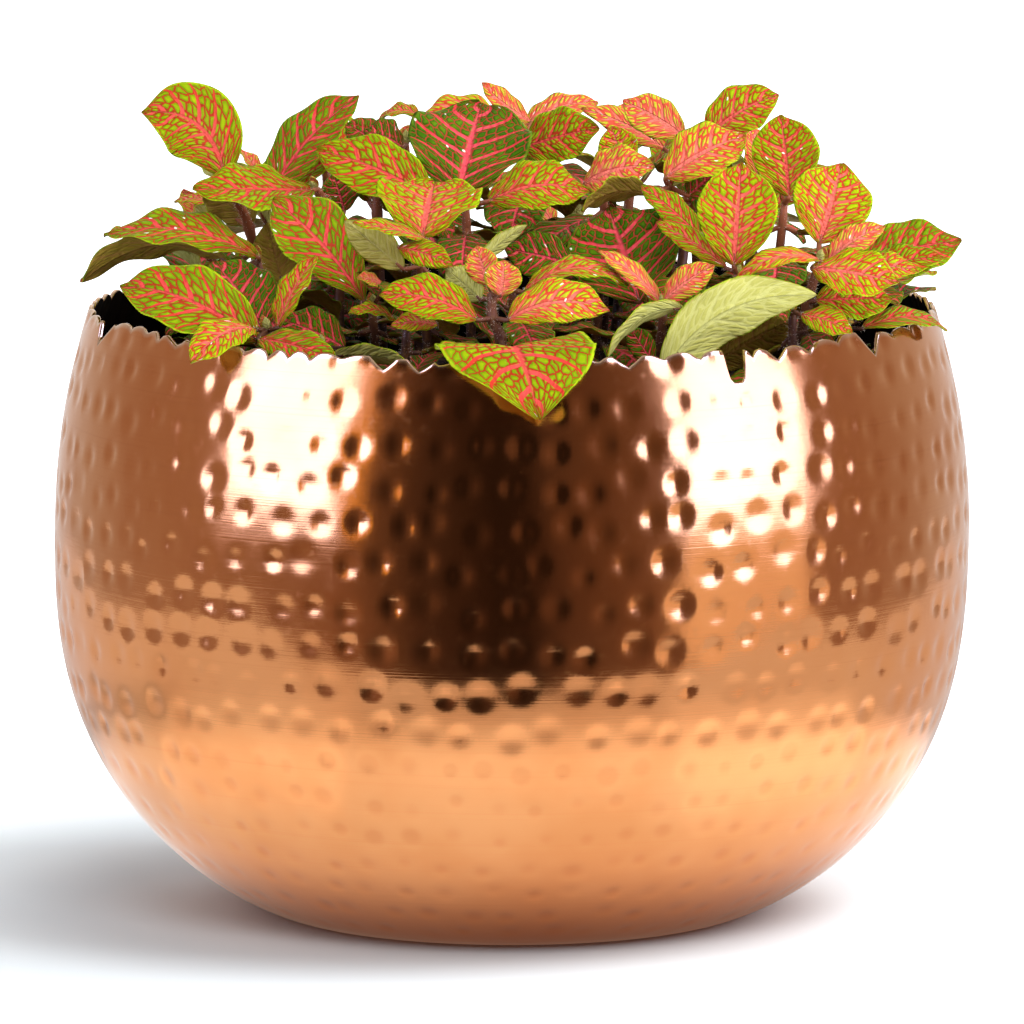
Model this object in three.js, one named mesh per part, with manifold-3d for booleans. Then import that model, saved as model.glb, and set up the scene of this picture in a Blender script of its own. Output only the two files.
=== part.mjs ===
// Potted nerve plant: a hammered, copper-coloured bowl filled with soil, and the shoots that grow in
// it. Millimetres, +Z up, origin under the middle of the bowl, front of the bowl towards -Y.
import * as THREE from "three";
import { mergeVertices } from "three/addons/utils/BufferGeometryUtils.js";
import Module from "manifold-3d";

const wasm = await Module();
wasm.setup();

// Bowl
const RIM_Z = 159.5;
const RIM_RADIUS = 110.7;
const WIDEST_RADIUS = 120;
const WIDEST_Z = 100;
const BASE_RADIUS = 60;
const SHOULDER_POWER = 2.05;
const BELLY_POWER_Z = 2.63;
const BELLY_POWER_R = 1.34;
const WALL = 1.6;
const RIM_WALL = 1.2;
const DIMPLE_DEPTH = 0.7;
const WALL_COLUMNS = 76;
const WALL_RINGS = 13;
const INNER_HEIGHTS = [5, 13, 28, 52, 85, 128];
const BASE_EDGE = 2;
const NOTCH_ROOM = 9;
const NOTCH_MARGIN = 0.5;
const SCALLOPS = 76;
const SCALLOP_DRIFTS = [[2.9, 5, 0.6], [1.5, 11, 2.1]];
const SCALLOP_LEAST = 1.4;
const SCALLOP_SPREAD = 1.6;

// Notches in the rim: degrees from the front towards +X, depth, half the width at the top and half the
// width of the bottom in degrees
const NOTCHES = [
  [-72.2, 6.0, 2.4, 0],
  [-51.0, 2.0, 2.0, 0],
  [-17.0, 3.2, 2.2, 0],
  [-12.2, 3.0, 2.2, 0],
  [15.5, 2.8, 2.2, 0],
  [31.1, 7.6, 1.5, 1],
  [37.5, 3.2, 1.8, 0],
  [56.4, 5.6, 3.0, 0],
  [97.0, 4.4, 2.4, 0],
  [138.0, 5.2, 2.6, 0],
  [171.0, 3.4, 2.2, 0.8],
  [-152.0, 6.2, 2.2, 0],
  [-121.0, 3.6, 2.6, 0],
];

// Soil
const SOIL_Z = 131;
const SOIL_ROUGHNESS = 1.6;
const SOIL_GAP = 0.4;
const WALL_SAG = 0.8;
const SOIL_COLUMNS = 24;
const SOIL_RINGS = [84, 52, 22];

// Shoots
const STEM_RADIUS = 1.5;
const STEM_SIDES = 5;
const FOOT_DEPTH = 12;
const HOLE_RADIUS = 2.6;
const HOLE_DEPTH = 12.5;
const HOLE_HEADROOM = 6;
const STALK_RADIUS = 0.6;
const BLADE_THICKNESS = 0.7;
const BLADE_FULLNESS = 0.62;
const TIP_FINENESS = 0.3;
const FOLD = 0.1;
const WAVE = 0.045;
const WAVES = 3;
const SIDE_SHIFT = 0.8;

// The shoots that show from the front, each with its foot in the soil, the joints of its stem from
// the lowest up, and its leaves. A leaf is: base, tip, width, where its upper face looks (degrees
// turned from the front towards +X, degrees tilted up), arch along the midrib and sideways bow, both
// as shares of its length, cupping in degrees, a power that moves its widest place towards the tip,
// age from 0, just open, to 1, old, and for a lopsided leaf how far one side runs ahead of the other.
const SHOOTS = [
  [[-58, -22], [[-66, -24, 174]], [
    [[-66, -34, 176], [-105, -26, 181], 19, 0, 68, 0.12, 0, 0, 1.1, 0.6],
    [[-71, -14, 171], [-113, -4, 166], 20, 180, 62, 0.2, 0, 0, 1, 0.8],
  ]],
  [[-58, -58], [[-63, -65, 161]], [
    [[-65, -72, 159], [-101, -54, 171], 20, -10, 42, 0.1, 0.03, 5, 1, 0.45],
    [[-64, -58, 160], [-77, -42, 176], 20, 15, 25, 0.05, 0, 0, 1, 0.9],
    [[-60, -68, 162], [-50, -62, 180], 11, -50, 25, 0.06, 0, 10, 1, 0.3],
    [[-65, -76, 160], [-44, -93, 156], 11, 0, 45, 0.06, 0, 0, 1, 0.6],
    [[-66, -72, 162], [-82, -87, 155], 13, -10, 50, 0.18, 0, 0, 1.1, 0.25],
  ]],
  [[-34, -44], [[-36, -50, 165]], [
    [[-38, -54, 167], [-62, -40, 192], 20, 12, 28, 0.05, 0.03, 8, 1.35, 0.65],
    [[-33, -56, 171], [-40, -60, 174], 6, 0, 55, 0.1, 0, 0, 1, 0.1],
  ]],
  [[-62, 8], [[-69, 8, 179], [-73, 0, 189]], [
    [[-75, -6, 194], [-97, 2, 210], 21, -10, 22, 0.06, 0.22, 8, 1, 0.35],
    [[-68, 12, 179], [-81, 8, 189], 14, 180, 40, 0.1, 0, 0, 1, 0.6],
    [[-75, 18, 182], [-89, 22, 184], 9, 0, 75, 0.15, 0, 0, 1, 0.2],
  ]],
  [[-46, -6], [[-46, 0, 180], [-51, -8, 191]], [
    [[-52, -12, 191], [-83, -26, 193], 20, 0, 58, 0.04, -0.05, 0, 1, 0.45],
    [[-44, 2, 184], [-47, 2, 194], 12, 20, 10, 0.05, 0, 0, 1, 0.95],
  ]],
  [[-56, 16], [[-60, -4, 162], [-62, 8, 186]], [
    [[-63, 6, 188], [-40, 16, 213], 17, -30, 30, 0.04, -0.05, 8, 1, 0.7],
    [[-60, -7, 166], [-64, -5, 182], 12, 180, 10, 0.05, 0, 0, 1, 1],
  ]],
  [[-10, -14], [[-12, -20, 188]], [
    [[-19, -24, 189], [-51, -16, 202], 18, -10, 42, 0.1, 0, 5, 1.1, 0.4],
    [[-14, -12, 190], [-8, 14, 211], 33, -5, 28, 0.04, 0, 12, 1.05, 0.95],
    [[-6, -28, 190], [20, -25, 192], 17, 10, 48, 0.17, 0, 0, 1, 0.35],
  ]],
  [[-20, -46], [[-24, -52, 182]], [
    [[-23, -56, 184], [-20, -31, 195], 28, 0, 60, 0.08, 0, 15, 1.1, 0.3],
    [[-28, -58, 176], [-43, -62, 189], 10, 180, 10, 0.06, 0, 0, 1, 0.55],
    [[-22, -62, 184], [-41, -68, 189], 8, 0, 66, 0.04, 0, 0, 1, 0.3],
    [[-29, -62, 182], [-15, -68, 178], 8, 0, 35, 0.08, 0, 0, 1, 0.35],
  ]],
  [[-24, 26], [[-28, 26, 199]], [
    [[-24, 30, 206], [-36, 34, 203], 10, 0, 75, 0.22, 0, 0, 1, 0.3],
    [[-29, 20, 199], [-39, 20, 203], 12, 0, 45, 0.1, 0, 0, 1, 0.95],
    [[-34, 28, 198], [-44, 30, 204], 10, 0, 35, 0.05, 0, 0, 1, 0.8],
  ]],
  [[8, 22], [[3, 26, 201]], [
    [[1, 26, 202], [-25, 20, 206], 16, -10, 68, 0.18, 0, 0, 1, 0.2],
    [[5, 34, 204], [-8, 30, 215], 8, 0, 45, -0.08, 0, 5, 1, 0.1],
    [[3, 38, 202], [23, 44, 208], 11, 0, 60, 0.12, 0, 0, 1, 0.1],
    [[2, 14, 199], [23, 10, 205], 17, 5, 38, 0.04, 0, 0, 1, 0.5],
  ]],
  [[-4, -66], [[-3, -80, 161], [-5, -80, 166], [-5, -76, 172]], [
    [[-6, -76, 174], [-9, -74, 184], 9, -10, 10, 0.06, 0, 15, 1, 0.1],
    [[-3, -82, 172], [-2, -80, 181], 10, 8, 10, 0.06, 0, 15, 1, 0.1],
    [[-9, -84, 166], [-34, -82, 172], 14, -5, 45, 0.12, 0.03, 5, 1, 0.15],
    [[-1, -84, 166], [25, -82, 168], 14, 5, 42, 0.14, -0.06, 5, 1, 0.12],
    [[-1, -94, 156], [7, -121, 145], 38, -3, 47, 0.4, 0, 0, 0.9, 0.4, -0.42],
  ]],
  [[2, -50], [[0, -60, 171]], [
    [[-8, -66, 169], [-17, -64, 177], 9, 180, 5, 0.05, 0, 0, 1, 0.5],
    [[3, -66, 171], [30, -62, 172], 12, 0, 70, 0.22, 0, 0, 1, 0.3],
    [[-9, -58, 177], [4, -54, 187], 5, 180, 30, 0.08, 0, 0, 1, 0.4],
  ]],
  [[20, -30], [[23, -32, 168]], [
    [[16, -34, 174], [-2, -32, 178], 13, 0, 25, 0.08, 0, 0, 1, 1],
    [[33, -38, 165], [25, -24, 188], 31, 0, 15, 0.05, 0, 12, 1.05, 1],
  ]],
  [[36, -56], [[39, -66, 167]], [
    [[44, -76, 168], [24, -92, 157], 8, 180, 40, 0.1, -0.12, 0, 1, 0.45],
    [[38, -64, 168], [22, -60, 181], 8, 40, 40, 0.08, 0, 0, 1, 0.1],
    [[39, -68, 169], [52, -66, 178], 9, -10, 30, 0.08, 0, 0, 1, 0.1],
  ]],
  [[54, -46], [[58, -58, 175]], [
    [[55, -56, 176], [37, -48, 187], 8, 0, 55, 0.06, 0, 0, 1, 0.3],
    [[57, -60, 177], [59, -52, 203], 21, -3, 14, 0.05, 0, 10, 1.1, 0.3],
  ]],
  [[72, -48], [[76, -57, 167], [79, -60, 178]], [
    [[78, -60, 168], [98, -56, 168], 13, 0, 38, 0.02, 0, 0, 1, 0.5],
    [[79, -54, 182], [85, -46, 202], 21, 5, 15, 0.05, 0, 10, 1.1, 0.25],
    [[81, -60, 178], [96, -58, 187], 9, -10, 40, 0.12, 0, 5, 1, 0.1],
    [[77, -66, 177], [99, -72, 174], 16, 5, 45, 0.04, 0, 0, 1.1, 0.25],
    [[79, -66, 179], [57, -70, 174], 8, 0, 60, 0.2, 0, 0, 1, 0.2],
  ]],
  [[82, -24], [[88, -36, 172]], [
    [[89, -28, 173], [117, -22, 179], 18, -10, 40, 0.06, 0, 0, 1, 0.65],
    [[89, -38, 172], [112, -34, 176], 11, 0, 50, 0.08, 0, 0, 1, 0.5],
    [[87, -46, 174], [105, -48, 174], 10, 0, 50, 0.1, 0, 0, 1, 0.2],
  ]],
  [[66, -6], [[71, -14, 188]], [
    [[72, -18, 190], [70, -12, 211], 18, 5, 12, 0.05, 0, 10, 1.1, 0.35],
  ]],
  [[42, -4], [[41, -12, 192]], [
    [[40, -18, 195], [61, -10, 205], 17, -15, 35, 0.1, 0, 5, 1, 0.3],
    [[46, -14, 190], [57, -12, 199], 14, 20, 30, 0.06, 0, 0, 1, 0.8],
    [[36, -26, 192], [18, -34, 188], 13, 180, 50, 0.16, 0, 0, 1, 0.6],
  ]],
  [[24, 2], [[24, -6, 191]], [
    [[29, 4, 195], [26, 6, 206], 11, 10, 20, 0.05, 0, 10, 1, 0.25],
    [[19, -14, 193], [37, -18, 198], 16, 0, 45, 0.12, 0, 0, 0.9, 0.15],
  ]],
  [[50, -24], [[49, -32, 179]], [
    [[49, -38, 181], [33, -36, 195], 10, 30, 40, 0.06, 0, 0, 1, 0.6],
  ]],
  [[50, 18], [[47, 10, 200]], [
    [[40, 24, 198], [18, 22, 209], 9, 10, 42, 0.08, 0, 0, 1, 0.3],
    [[45, 8, 203], [29, 14, 212], 12, 0, 32, 0.05, 0, 0, 1, 0.2],
    [[51, 4, 203], [70, 8, 214], 15, -10, 35, 0.06, -0.04, 5, 1, 0.3],
  ]],
  [[72, -66], [[72, -66, 166]], [
    [[74, -74, 166], [87, -79, 162], 9, 0, 45, 0.1, 0, 0, 1, 0.35],
  ]],
  [[82, -42], [[86, -52, 160]], [
    [[90, -54, 160], [113, -28, 156], 9, 10, 55, 0.12, 0, 0, 1, 0.6],
  ]],
  [[-28, -68], [[-27, -72, 162]], [
    [[-30, -70, 164], [-42, -72, 166], 9, 0, 75, 0.18, 0, 0, 1, 0.4],
    [[-19, -78, 164], [-31, -80, 164], 7, 0, 50, 0.1, 0, 0, 1, 0.2],
  ]],
  [[-50, -66], [[-49, -70, 157]], [
    [[-43, -62, 156], [-60, -58, 163], 14, 0, 40, 0.06, 0, 0, 1, 1],
    [[-46, -78, 156], [-24, -99, 155], 8, 180, 35, 0.08, 0, 0, 1, 0.53],
  ]],
  [[44, -68], [[46, -72, 152]], [
    [[39, -84, 153], [78, -81, 172], 16, 180, 15, 0.1, 0.12, 0, 0.85, 0.3],
    [[36, -75, 154], [30, -73, 163], 7, 0, 10, 0.05, 0, 0, 1, 1],
    [[52, -60, 152], [73, -56, 163], 18, 180, 30, 0.05, 0, 0, 1, 1],
  ]],
];

// The shoots behind them: foot, top joint, and the heading of the first pair of leaves in degrees
const BACK_SHOOTS = [
  [[-68, 28], [-80, 30, 170], 30],
  [[-60, 46], [-64, 56, 180], 65],
  [[-42, 52], [-50, 66, 190], 70],
  [[-16, 62], [-20, 82, 180], 10],
  [[14, 62], [14, 84, 166], 55],
  [[42, 56], [48, 72, 186], 100],
  [[60, 36], [65, 42, 183], 45],
  [[-34, 36], [-36, 42, 186], 130],
  [[26, 34], [32, 46, 192], 0],
  [[80, 6], [84, 10, 160], 20],
];

// Pairs of leaves of such a shoot: drop below the top, length, width to length, pitch, age
const PAIRS = [
  [0, 14, 0.7, 55, 0.1],
  [7, 29, 0.66, 22, 0.4],
  [18, 36, 0.62, -8, 0.85],
];
const PITCH_TRIES = [0, 12, -12, 24, -24, 36];
const CLEARANCE = 3.2;
const FAR_APART = 110;
const RIM_KEEP_OUT = 106;
const RIM_CLEAR_Z = 163;
const LEAF_LEAST_Z = 139;
const TURN_SPREAD = 24;
const LENGTH_LEAST = 0.9;
const LENGTH_SPREAD = 0.25;
const STALK_LENGTH = 4;
const FREE_ARCH = 0.1;
const FREE_CUP = 6;
const FREE_BELLY = 1.05;

const DEGREE = Math.PI / 180;
const vec = (p) => new THREE.Vector3(p[0], p[1], p[2]);

// A number from 0 to 1 that looks random and is the same every time for the same index
function draw(index) {
  const x = Math.sin(index * 12.9898) * 43758.5453;
  return x - Math.floor(x);
}

// A closed geometry as a manifold solid
function solid(geometry) {
  const bare = geometry.index ? geometry : geometry.clone();
  bare.deleteAttribute("normal");
  bare.deleteAttribute("uv");
  const merged = mergeVertices(bare, 1e-4);
  return new wasm.Manifold(
    new wasm.Mesh({
      numProp: 3,
      vertProperties: merged.attributes.position.array,
      triVerts: new Uint32Array(merged.index.array),
    }),
  );
}

// A manifold solid as a geometry
function geometryOf(made) {
  const mesh = made.getMesh();
  const points = new Float32Array(mesh.numVert * 3);
  for (let i = 0; i < mesh.numVert; i++) {
    points.set(mesh.vertProperties.subarray(i * mesh.numProp, i * mesh.numProp + 3), i * 3);
  }
  const geometry = new THREE.BufferGeometry();
  geometry.setAttribute("position", new THREE.BufferAttribute(points, 3));
  geometry.setIndex(new THREE.BufferAttribute(mesh.triVerts, 1));
  geometry.computeVertexNormals();
  return geometry;
}

// Closed surface through rings of points, from the ring or pole at the outer bottom to the last pole.
// A ring is a list of [angle, radius, z], and rings may differ in how many points they have.
function ringSurface(rings) {
  const points = [];
  const faces = [];
  const first = rings.map((ring) => {
    const start = points.length / 3;
    ring.forEach(([a, r, z]) => points.push(r * Math.sin(a), -r * Math.cos(a), z));
    return start;
  });
  const angleAt = (ring, i) => ring[i % ring.length][0] + (i >= ring.length ? 2 * Math.PI : 0);
  for (let k = 0; k + 1 < rings.length; k++) {
    const [low, high] = [rings[k], rings[k + 1]];
    const lowAt = (i) => first[k] + (i % low.length);
    const highAt = (j) => first[k + 1] + (j % high.length);
    const lowSteps = low.length > 1 ? low.length : 0;
    const highSteps = high.length > 1 ? high.length : 0;
    let i = 0;
    let j = 0;
    while (i < lowSteps || j < highSteps) {
      const stepLow =
        i < lowSteps && (j >= highSteps || angleAt(low, i + 1) <= angleAt(high, j + 1));
      if (stepLow) {
        faces.push(lowAt(i), lowAt(i + 1), highAt(j));
        i += 1;
      } else {
        faces.push(lowAt(i), highAt(j + 1), highAt(j));
        j += 1;
      }
    }
  }
  const geometry = new THREE.BufferGeometry();
  geometry.setAttribute("position", new THREE.Float32BufferAttribute(points, 3));
  geometry.setIndex(faces);
  return geometry;
}

const evenRing = (count, radius, z, shift = 0) =>
  Array.from({ length: count }, (_, i) => [((i + shift) / count) * 2 * Math.PI, radius, z]);

// Outside radius of the bowl at a height: a superellipse below the widest place, a power curve above
function bowlRadius(z) {
  if (z > WIDEST_Z) {
    const t = (z - WIDEST_Z) / (RIM_Z - WIDEST_Z);
    return WIDEST_RADIUS - (WIDEST_RADIUS - RIM_RADIUS) * t ** SHOULDER_POWER;
  }
  const t = 1 - (1 - z / WIDEST_Z) ** BELLY_POWER_Z;
  return BASE_RADIUS + (WIDEST_RADIUS - BASE_RADIUS) * t ** (1 / BELLY_POWER_R);
}

// Heights of rings that are evenly spaced along the wall from the base to a top height
function evenHeights(count, top) {
  const fine = 400;
  const zs = Array.from({ length: fine + 1 }, (_, i) => top * (i / fine) ** 2);
  const lengths = [0];
  for (let i = 1; i <= fine; i++) {
    const step = Math.hypot(zs[i] - zs[i - 1], bowlRadius(zs[i]) - bowlRadius(zs[i - 1]));
    lengths.push(lengths[i - 1] + step);
  }
  return Array.from({ length: count + 1 }, (_, k) => {
    const want = (lengths[fine] * k) / count;
    return zs[lengths.findIndex((l) => l >= want - 1e-9)];
  });
}

// Rim points: one in each valley and one on each peak of the scallops, which are narrow in some places
// and wide in others, with the notches cut into them
function rimPoints() {
  const count = SCALLOPS * 2;
  const rim = Array.from({ length: count }, (_, i) => {
    const even = (i * 360) / count;
    const at = SCALLOP_DRIFTS.reduce(
      (sum, [far, times, lag]) => sum + far * Math.sin(times * even * DEGREE + lag),
      even + 360,
    );
    const valley = i % 2 === 0 ? SCALLOP_LEAST + SCALLOP_SPREAD * draw(i) : 0;
    return [at % 360, valley];
  });
  const off = (at, centre) => Math.abs(((at - centre + 540) % 360) - 180);
  const clear = (at, [centre, , half]) => off(at, centre) > half + NOTCH_MARGIN;
  const whole = rim.filter(([at]) => NOTCHES.every((notch) => clear(at, notch)));
  for (const [centre, depth, half, flat] of NOTCHES) {
    whole.push([centre - half, 0], [centre + half, 0]);
    whole.push(...(flat ? [[centre - flat, depth], [centre + flat, depth]] : [[centre, depth]]));
  }
  const points = whole.map(([at, drop]) => [((at + 360) % 360) * DEGREE, RIM_Z - drop]);
  return points.sort((a, b) => a[0] - b[0]);
}

// Bowl: flat base, dimpled outside, scalloped and notched rim, plain inside
function bowl() {
  const below = RIM_Z - NOTCH_ROOM;
  const heights = evenHeights(WALL_RINGS, below);
  const rings = [[[0, 0, 0]], evenRing(WALL_COLUMNS / 2, BASE_RADIUS - BASE_EDGE, 0)];
  heights.forEach((z, k) => {
    const ring = evenRing(WALL_COLUMNS, bowlRadius(z), z, (k % 2) / 2);
    const edge = k === 0 || k === WALL_RINGS;
    ring.forEach((point, i) => {
      const dimple = !edge && (i + (k >> 1)) % 2 === 0;
      point[1] -= dimple ? DIMPLE_DEPTH : 0;
    });
    rings.push(ring);
  });
  const rim = rimPoints();
  rings.push(rim.map(([a, z]) => [a, bowlRadius(z), z]));
  rings.push(rim.map(([a, z]) => [a, bowlRadius(z) - RIM_WALL, z]));
  rings.push(evenRing(WALL_COLUMNS, bowlRadius(below) - WALL, below));
  for (const z of [...INNER_HEIGHTS].reverse()) {
    rings.push(evenRing(WALL_COLUMNS / 2, bowlRadius(z) - WALL, z));
  }
  rings.push(evenRing(WALL_COLUMNS / 2, BASE_RADIUS - WALL, WALL));
  rings.push([[0, 0, WALL]]);
  return geometryOf(solid(ringSurface(rings)));
}

// Height of the soil: slightly humped, with slow waves
function soilHeight(x, y) {
  const waves = Math.sin(0.11 * x + 0.8) * Math.cos(0.13 * y) + 0.5 * Math.sin(0.21 * (x - y));
  return SOIL_Z + SOIL_ROUGHNESS * waves;
}

// Soil: fills the bowl up to its own uneven top, with a plain hole for the foot of each shoot
function soil(feet) {
  const bottom = WALL + SOIL_GAP;
  const rings = [[[0, 0, bottom]]];
  rings.push(evenRing(SOIL_COLUMNS, BASE_RADIUS - WALL - SOIL_GAP, bottom));
  const inset = WALL + SOIL_GAP + WALL_SAG;
  for (const z of INNER_HEIGHTS) {
    rings.push(evenRing(SOIL_COLUMNS, bowlRadius(z) - inset, z));
  }
  const edge = bowlRadius(SOIL_Z) - inset;
  for (const r of [edge, ...SOIL_RINGS]) {
    const ring = evenRing(SOIL_COLUMNS, r, 0);
    ring.forEach((point) => {
      point[2] = soilHeight(r * Math.sin(point[0]), -r * Math.cos(point[0]));
    });
    rings.push(ring);
  }
  rings.push([[0, 0, soilHeight(0, 0)]]);
  let made = solid(ringSurface(rings));
  for (const [x, y] of feet) {
    const drilled = HOLE_DEPTH + HOLE_HEADROOM;
    const hole = new THREE.CylinderGeometry(HOLE_RADIUS, HOLE_RADIUS, drilled, 6);
    hole.rotateX(Math.PI / 2);
    hole.translate(x, y, soilHeight(x, y) - HOLE_DEPTH + drilled / 2);
    made = made.subtract(solid(hole));
  }
  return geometryOf(made);
}

// Tube along a smooth curve through points
function tube(points, radius, sides, steps) {
  const corners = Array.from({ length: sides }, (_, i) => {
    const a = (i / sides) * 2 * Math.PI;
    return new THREE.Vector2(radius * Math.cos(a), radius * Math.sin(a));
  });
  return solid(
    new THREE.ExtrudeGeometry(new THREE.Shape(corners), {
      steps,
      extrudePath: new THREE.CatmullRomCurve3(points, false, "centripetal"),
    }),
  );
}

// Unit vector that is turned from the front towards +X and tilted up, both in degrees
function facing(turn, tilt) {
  const [a, e] = [turn * DEGREE, tilt * DEGREE];
  return new THREE.Vector3(Math.sin(a) * Math.cos(e), -Math.cos(a) * Math.cos(e), Math.sin(e));
}

// The leaf's own axes: along the chord, across it, and up from its upper face
function leafAxes(leaf) {
  const [base, tip] = [vec(leaf[0]), vec(leaf[1])];
  const along = tip.clone().sub(base);
  const length = along.length();
  along.divideScalar(length);
  const up = facing(leaf[3], leaf[4]);
  up.addScaledVector(along, -up.dot(along)).normalize();
  return { base, along, length, up, side: along.clone().cross(up) };
}

// Point of the leaf's middle surface and the direction up from it. s runs from 0 at the base to 1 at
// the tip and t from -1 to 1 across. The midrib is a parabola over the chord, half the width is
// sin(pi s^belly)^fullness with a finer tip, the section is an arc of a circle on a shallow fold, and
// the edge waves up and down.
function leafPoint(leaf, s, t) {
  const { base, along, length, up, side } = leafAxes(leaf);
  const [, , width, turn, , arch, bow, cup, belly, , skew = 0] = leaf;
  const bend = up.clone().multiplyScalar(arch).addScaledVector(side, bow);
  const hump = 4 * s * (1 - s);
  const mid = base.clone().addScaledVector(along, length * s).addScaledVector(bend, length * hump);
  const tangent = along.clone().addScaledVector(bend, 4 * (1 - 2 * s)).normalize();
  const across = tangent.clone().cross(up).normalize();
  const normal = across.clone().cross(tangent);
  const fullness = BLADE_FULLNESS + TIP_FINENESS * s ** 3;
  const half = (width / 2) * Math.sin(Math.PI * s ** belly) ** fullness;
  const angle = cup * DEGREE + 1e-6;
  const out = (half * Math.sin(angle * t)) / angle;
  const phase = 2 * Math.PI * WAVES * s + width + turn + SIDE_SHIFT * Math.sign(t);
  const wave = WAVE * width * Math.abs(t) ** 3 * Math.sin(phase);
  const lift = (half * (1 - Math.cos(angle * t))) / angle + FOLD * half * Math.abs(t) + wave;
  mid.addScaledVector(along, skew * out);
  return [mid.addScaledVector(across, out).addScaledVector(normal, lift), normal];
}

// How many cross rows a blade gets between its base and its tip
const bladeRows = (width) => (width > 24 ? 6 : width > 15 ? 4 : width > 8 ? 3 : 2);

// Cross rows of a leaf from the joint of its stem to its tip: two points across the stalk at the joint
// and at the blade's base, three across the blade, one at the tip. Each point is [place, direction up].
function leafRows(leaf, joint) {
  const { base, along, up } = leafAxes(leaf);
  const out = base.clone().sub(joint).normalize();
  const turning = out.clone().add(along).normalize();
  const stalkRow = (place, direction) => {
    const across = direction.clone().cross(up).normalize();
    const normal = across.clone().cross(direction);
    return [-1, 1].map((t) => [place.clone().addScaledVector(across, t * STALK_RADIUS), normal]);
  };
  const rows = [stalkRow(joint, out), stalkRow(base, turning)];
  const count = bladeRows(leaf[2]);
  for (let k = 1; k <= count; k++) {
    rows.push([-1, 0, 1].map((t) => leafPoint(leaf, k / (count + 1), t)));
  }
  rows.push([leafPoint(leaf, 1 - 1e-6, 0)]);
  return rows;
}

// Triangles between two neighbouring rows, by how many points each has, as [row, point] corners
const SPLITS = {
  22: [[[0, 0], [1, 0], [0, 1]], [[1, 0], [1, 1], [0, 1]]],
  23: [[[0, 0], [1, 0], [1, 1]], [[0, 0], [1, 1], [0, 1]], [[0, 1], [1, 1], [1, 2]]],
  33: [
    [[0, 0], [1, 0], [0, 1]],
    [[1, 0], [1, 1], [0, 1]],
    [[0, 1], [1, 1], [1, 2]],
    [[0, 1], [1, 2], [0, 2]],
  ],
  31: [[[0, 0], [1, 0], [0, 1]], [[0, 1], [1, 0], [0, 2]]],
};

// Leaf: its rows thickened both ways, with both faces split into triangles alike
function leafSolid(leaf, joint) {
  const rows = leafRows(leaf, joint);
  const start = rows.map((_, k) => rows.slice(0, k).reduce((sum, row) => sum + row.length, 0));
  const count = start[rows.length - 1] + 1;
  const points = [];
  for (const face of [0.5, -0.5]) {
    rows.forEach((row, k) => {
      const thickness = k < 2 ? 2 * STALK_RADIUS : BLADE_THICKNESS;
      for (const [place, normal] of row) {
        points.push(...place.clone().addScaledVector(normal, face * thickness).toArray());
      }
    });
  }
  const faces = [];
  for (let k = 0; k + 1 < rows.length; k++) {
    for (const corners of SPLITS[`${rows[k].length}${rows[k + 1].length}`]) {
      const [a, b, c] = corners.map(([row, i]) => start[k + row] + i);
      faces.push(a, c, b, a + count, b + count, c + count);
    }
  }
  const right = rows.map((row, k) => start[k] + row.length - 1);
  const outline = [...right, ...start.slice(0, -1).reverse()];
  outline.forEach((a, i) => {
    const b = outline[(i + 1) % outline.length];
    faces.push(a, a + count, b, b, a + count, b + count);
  });
  const geometry = new THREE.BufferGeometry();
  geometry.setAttribute("position", new THREE.Float32BufferAttribute(points, 3));
  geometry.setIndex(faces);
  return solid(geometry);
}

// Shoot: stem through its joints, and each leaf with its stalk sunk into the stem, as one body
function shoot({ foot, joints, leaves }) {
  const ground = soilHeight(foot[0], foot[1]);
  const path = [
    new THREE.Vector3(foot[0], foot[1], ground - FOOT_DEPTH),
    new THREE.Vector3(foot[0], foot[1], ground + 1),
    ...joints.map(vec),
  ];
  const made = [tube(path, STEM_RADIUS, STEM_SIDES, 3 + joints.length)];
  for (const leaf of leaves) {
    const root = vec(leaf[0]);
    const [joint] = joints.map(vec).sort((a, b) => a.distanceTo(root) - b.distanceTo(root));
    made.push(leafSolid(leaf, joint));
  }
  return made.reduce((whole, piece) => whole.add(piece));
}

// A few points all over a leaf, for telling how near it comes to another
function leafCloud(leaf) {
  const cloud = [];
  for (let i = 0; i <= 9; i++) {
    for (let j = -3; j <= 3; j++) {
      cloud.push(leafPoint(leaf, Math.min(Math.max(i / 9, 0.01), 0.99), j / 3)[0]);
    }
  }
  return cloud;
}

// Points down a stem, close enough together that no leaf passes between them
function stemCloud({ foot, joints }) {
  const path = [new THREE.Vector3(foot[0], foot[1], SOIL_Z), ...joints.map(vec)];
  return path.slice(1).flatMap((end, k) => {
    const count = Math.ceil(end.distanceTo(path[k]) / 2.5);
    return Array.from({ length: count }, (_, i) => path[k].clone().lerp(end, (i + 1) / count));
  });
}

// A leaf that leaves a joint at a heading and a pitch, both in degrees, drooping more with length
function freeLeaf(joint, heading, pitch, length, width, age) {
  const [h, p] = [heading * DEGREE, pitch * DEGREE];
  const out = new THREE.Vector3(Math.sin(h) * Math.cos(p), -Math.cos(h) * Math.cos(p), Math.sin(p));
  const base = vec(joint).addScaledVector(out, STALK_LENGTH);
  const tip = base.clone().addScaledVector(out, length);
  const form = [FREE_ARCH, 0, FREE_CUP, FREE_BELLY];
  return [base.toArray(), tip.toArray(), width, heading, pitch + 90, ...form, age];
}

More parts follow.
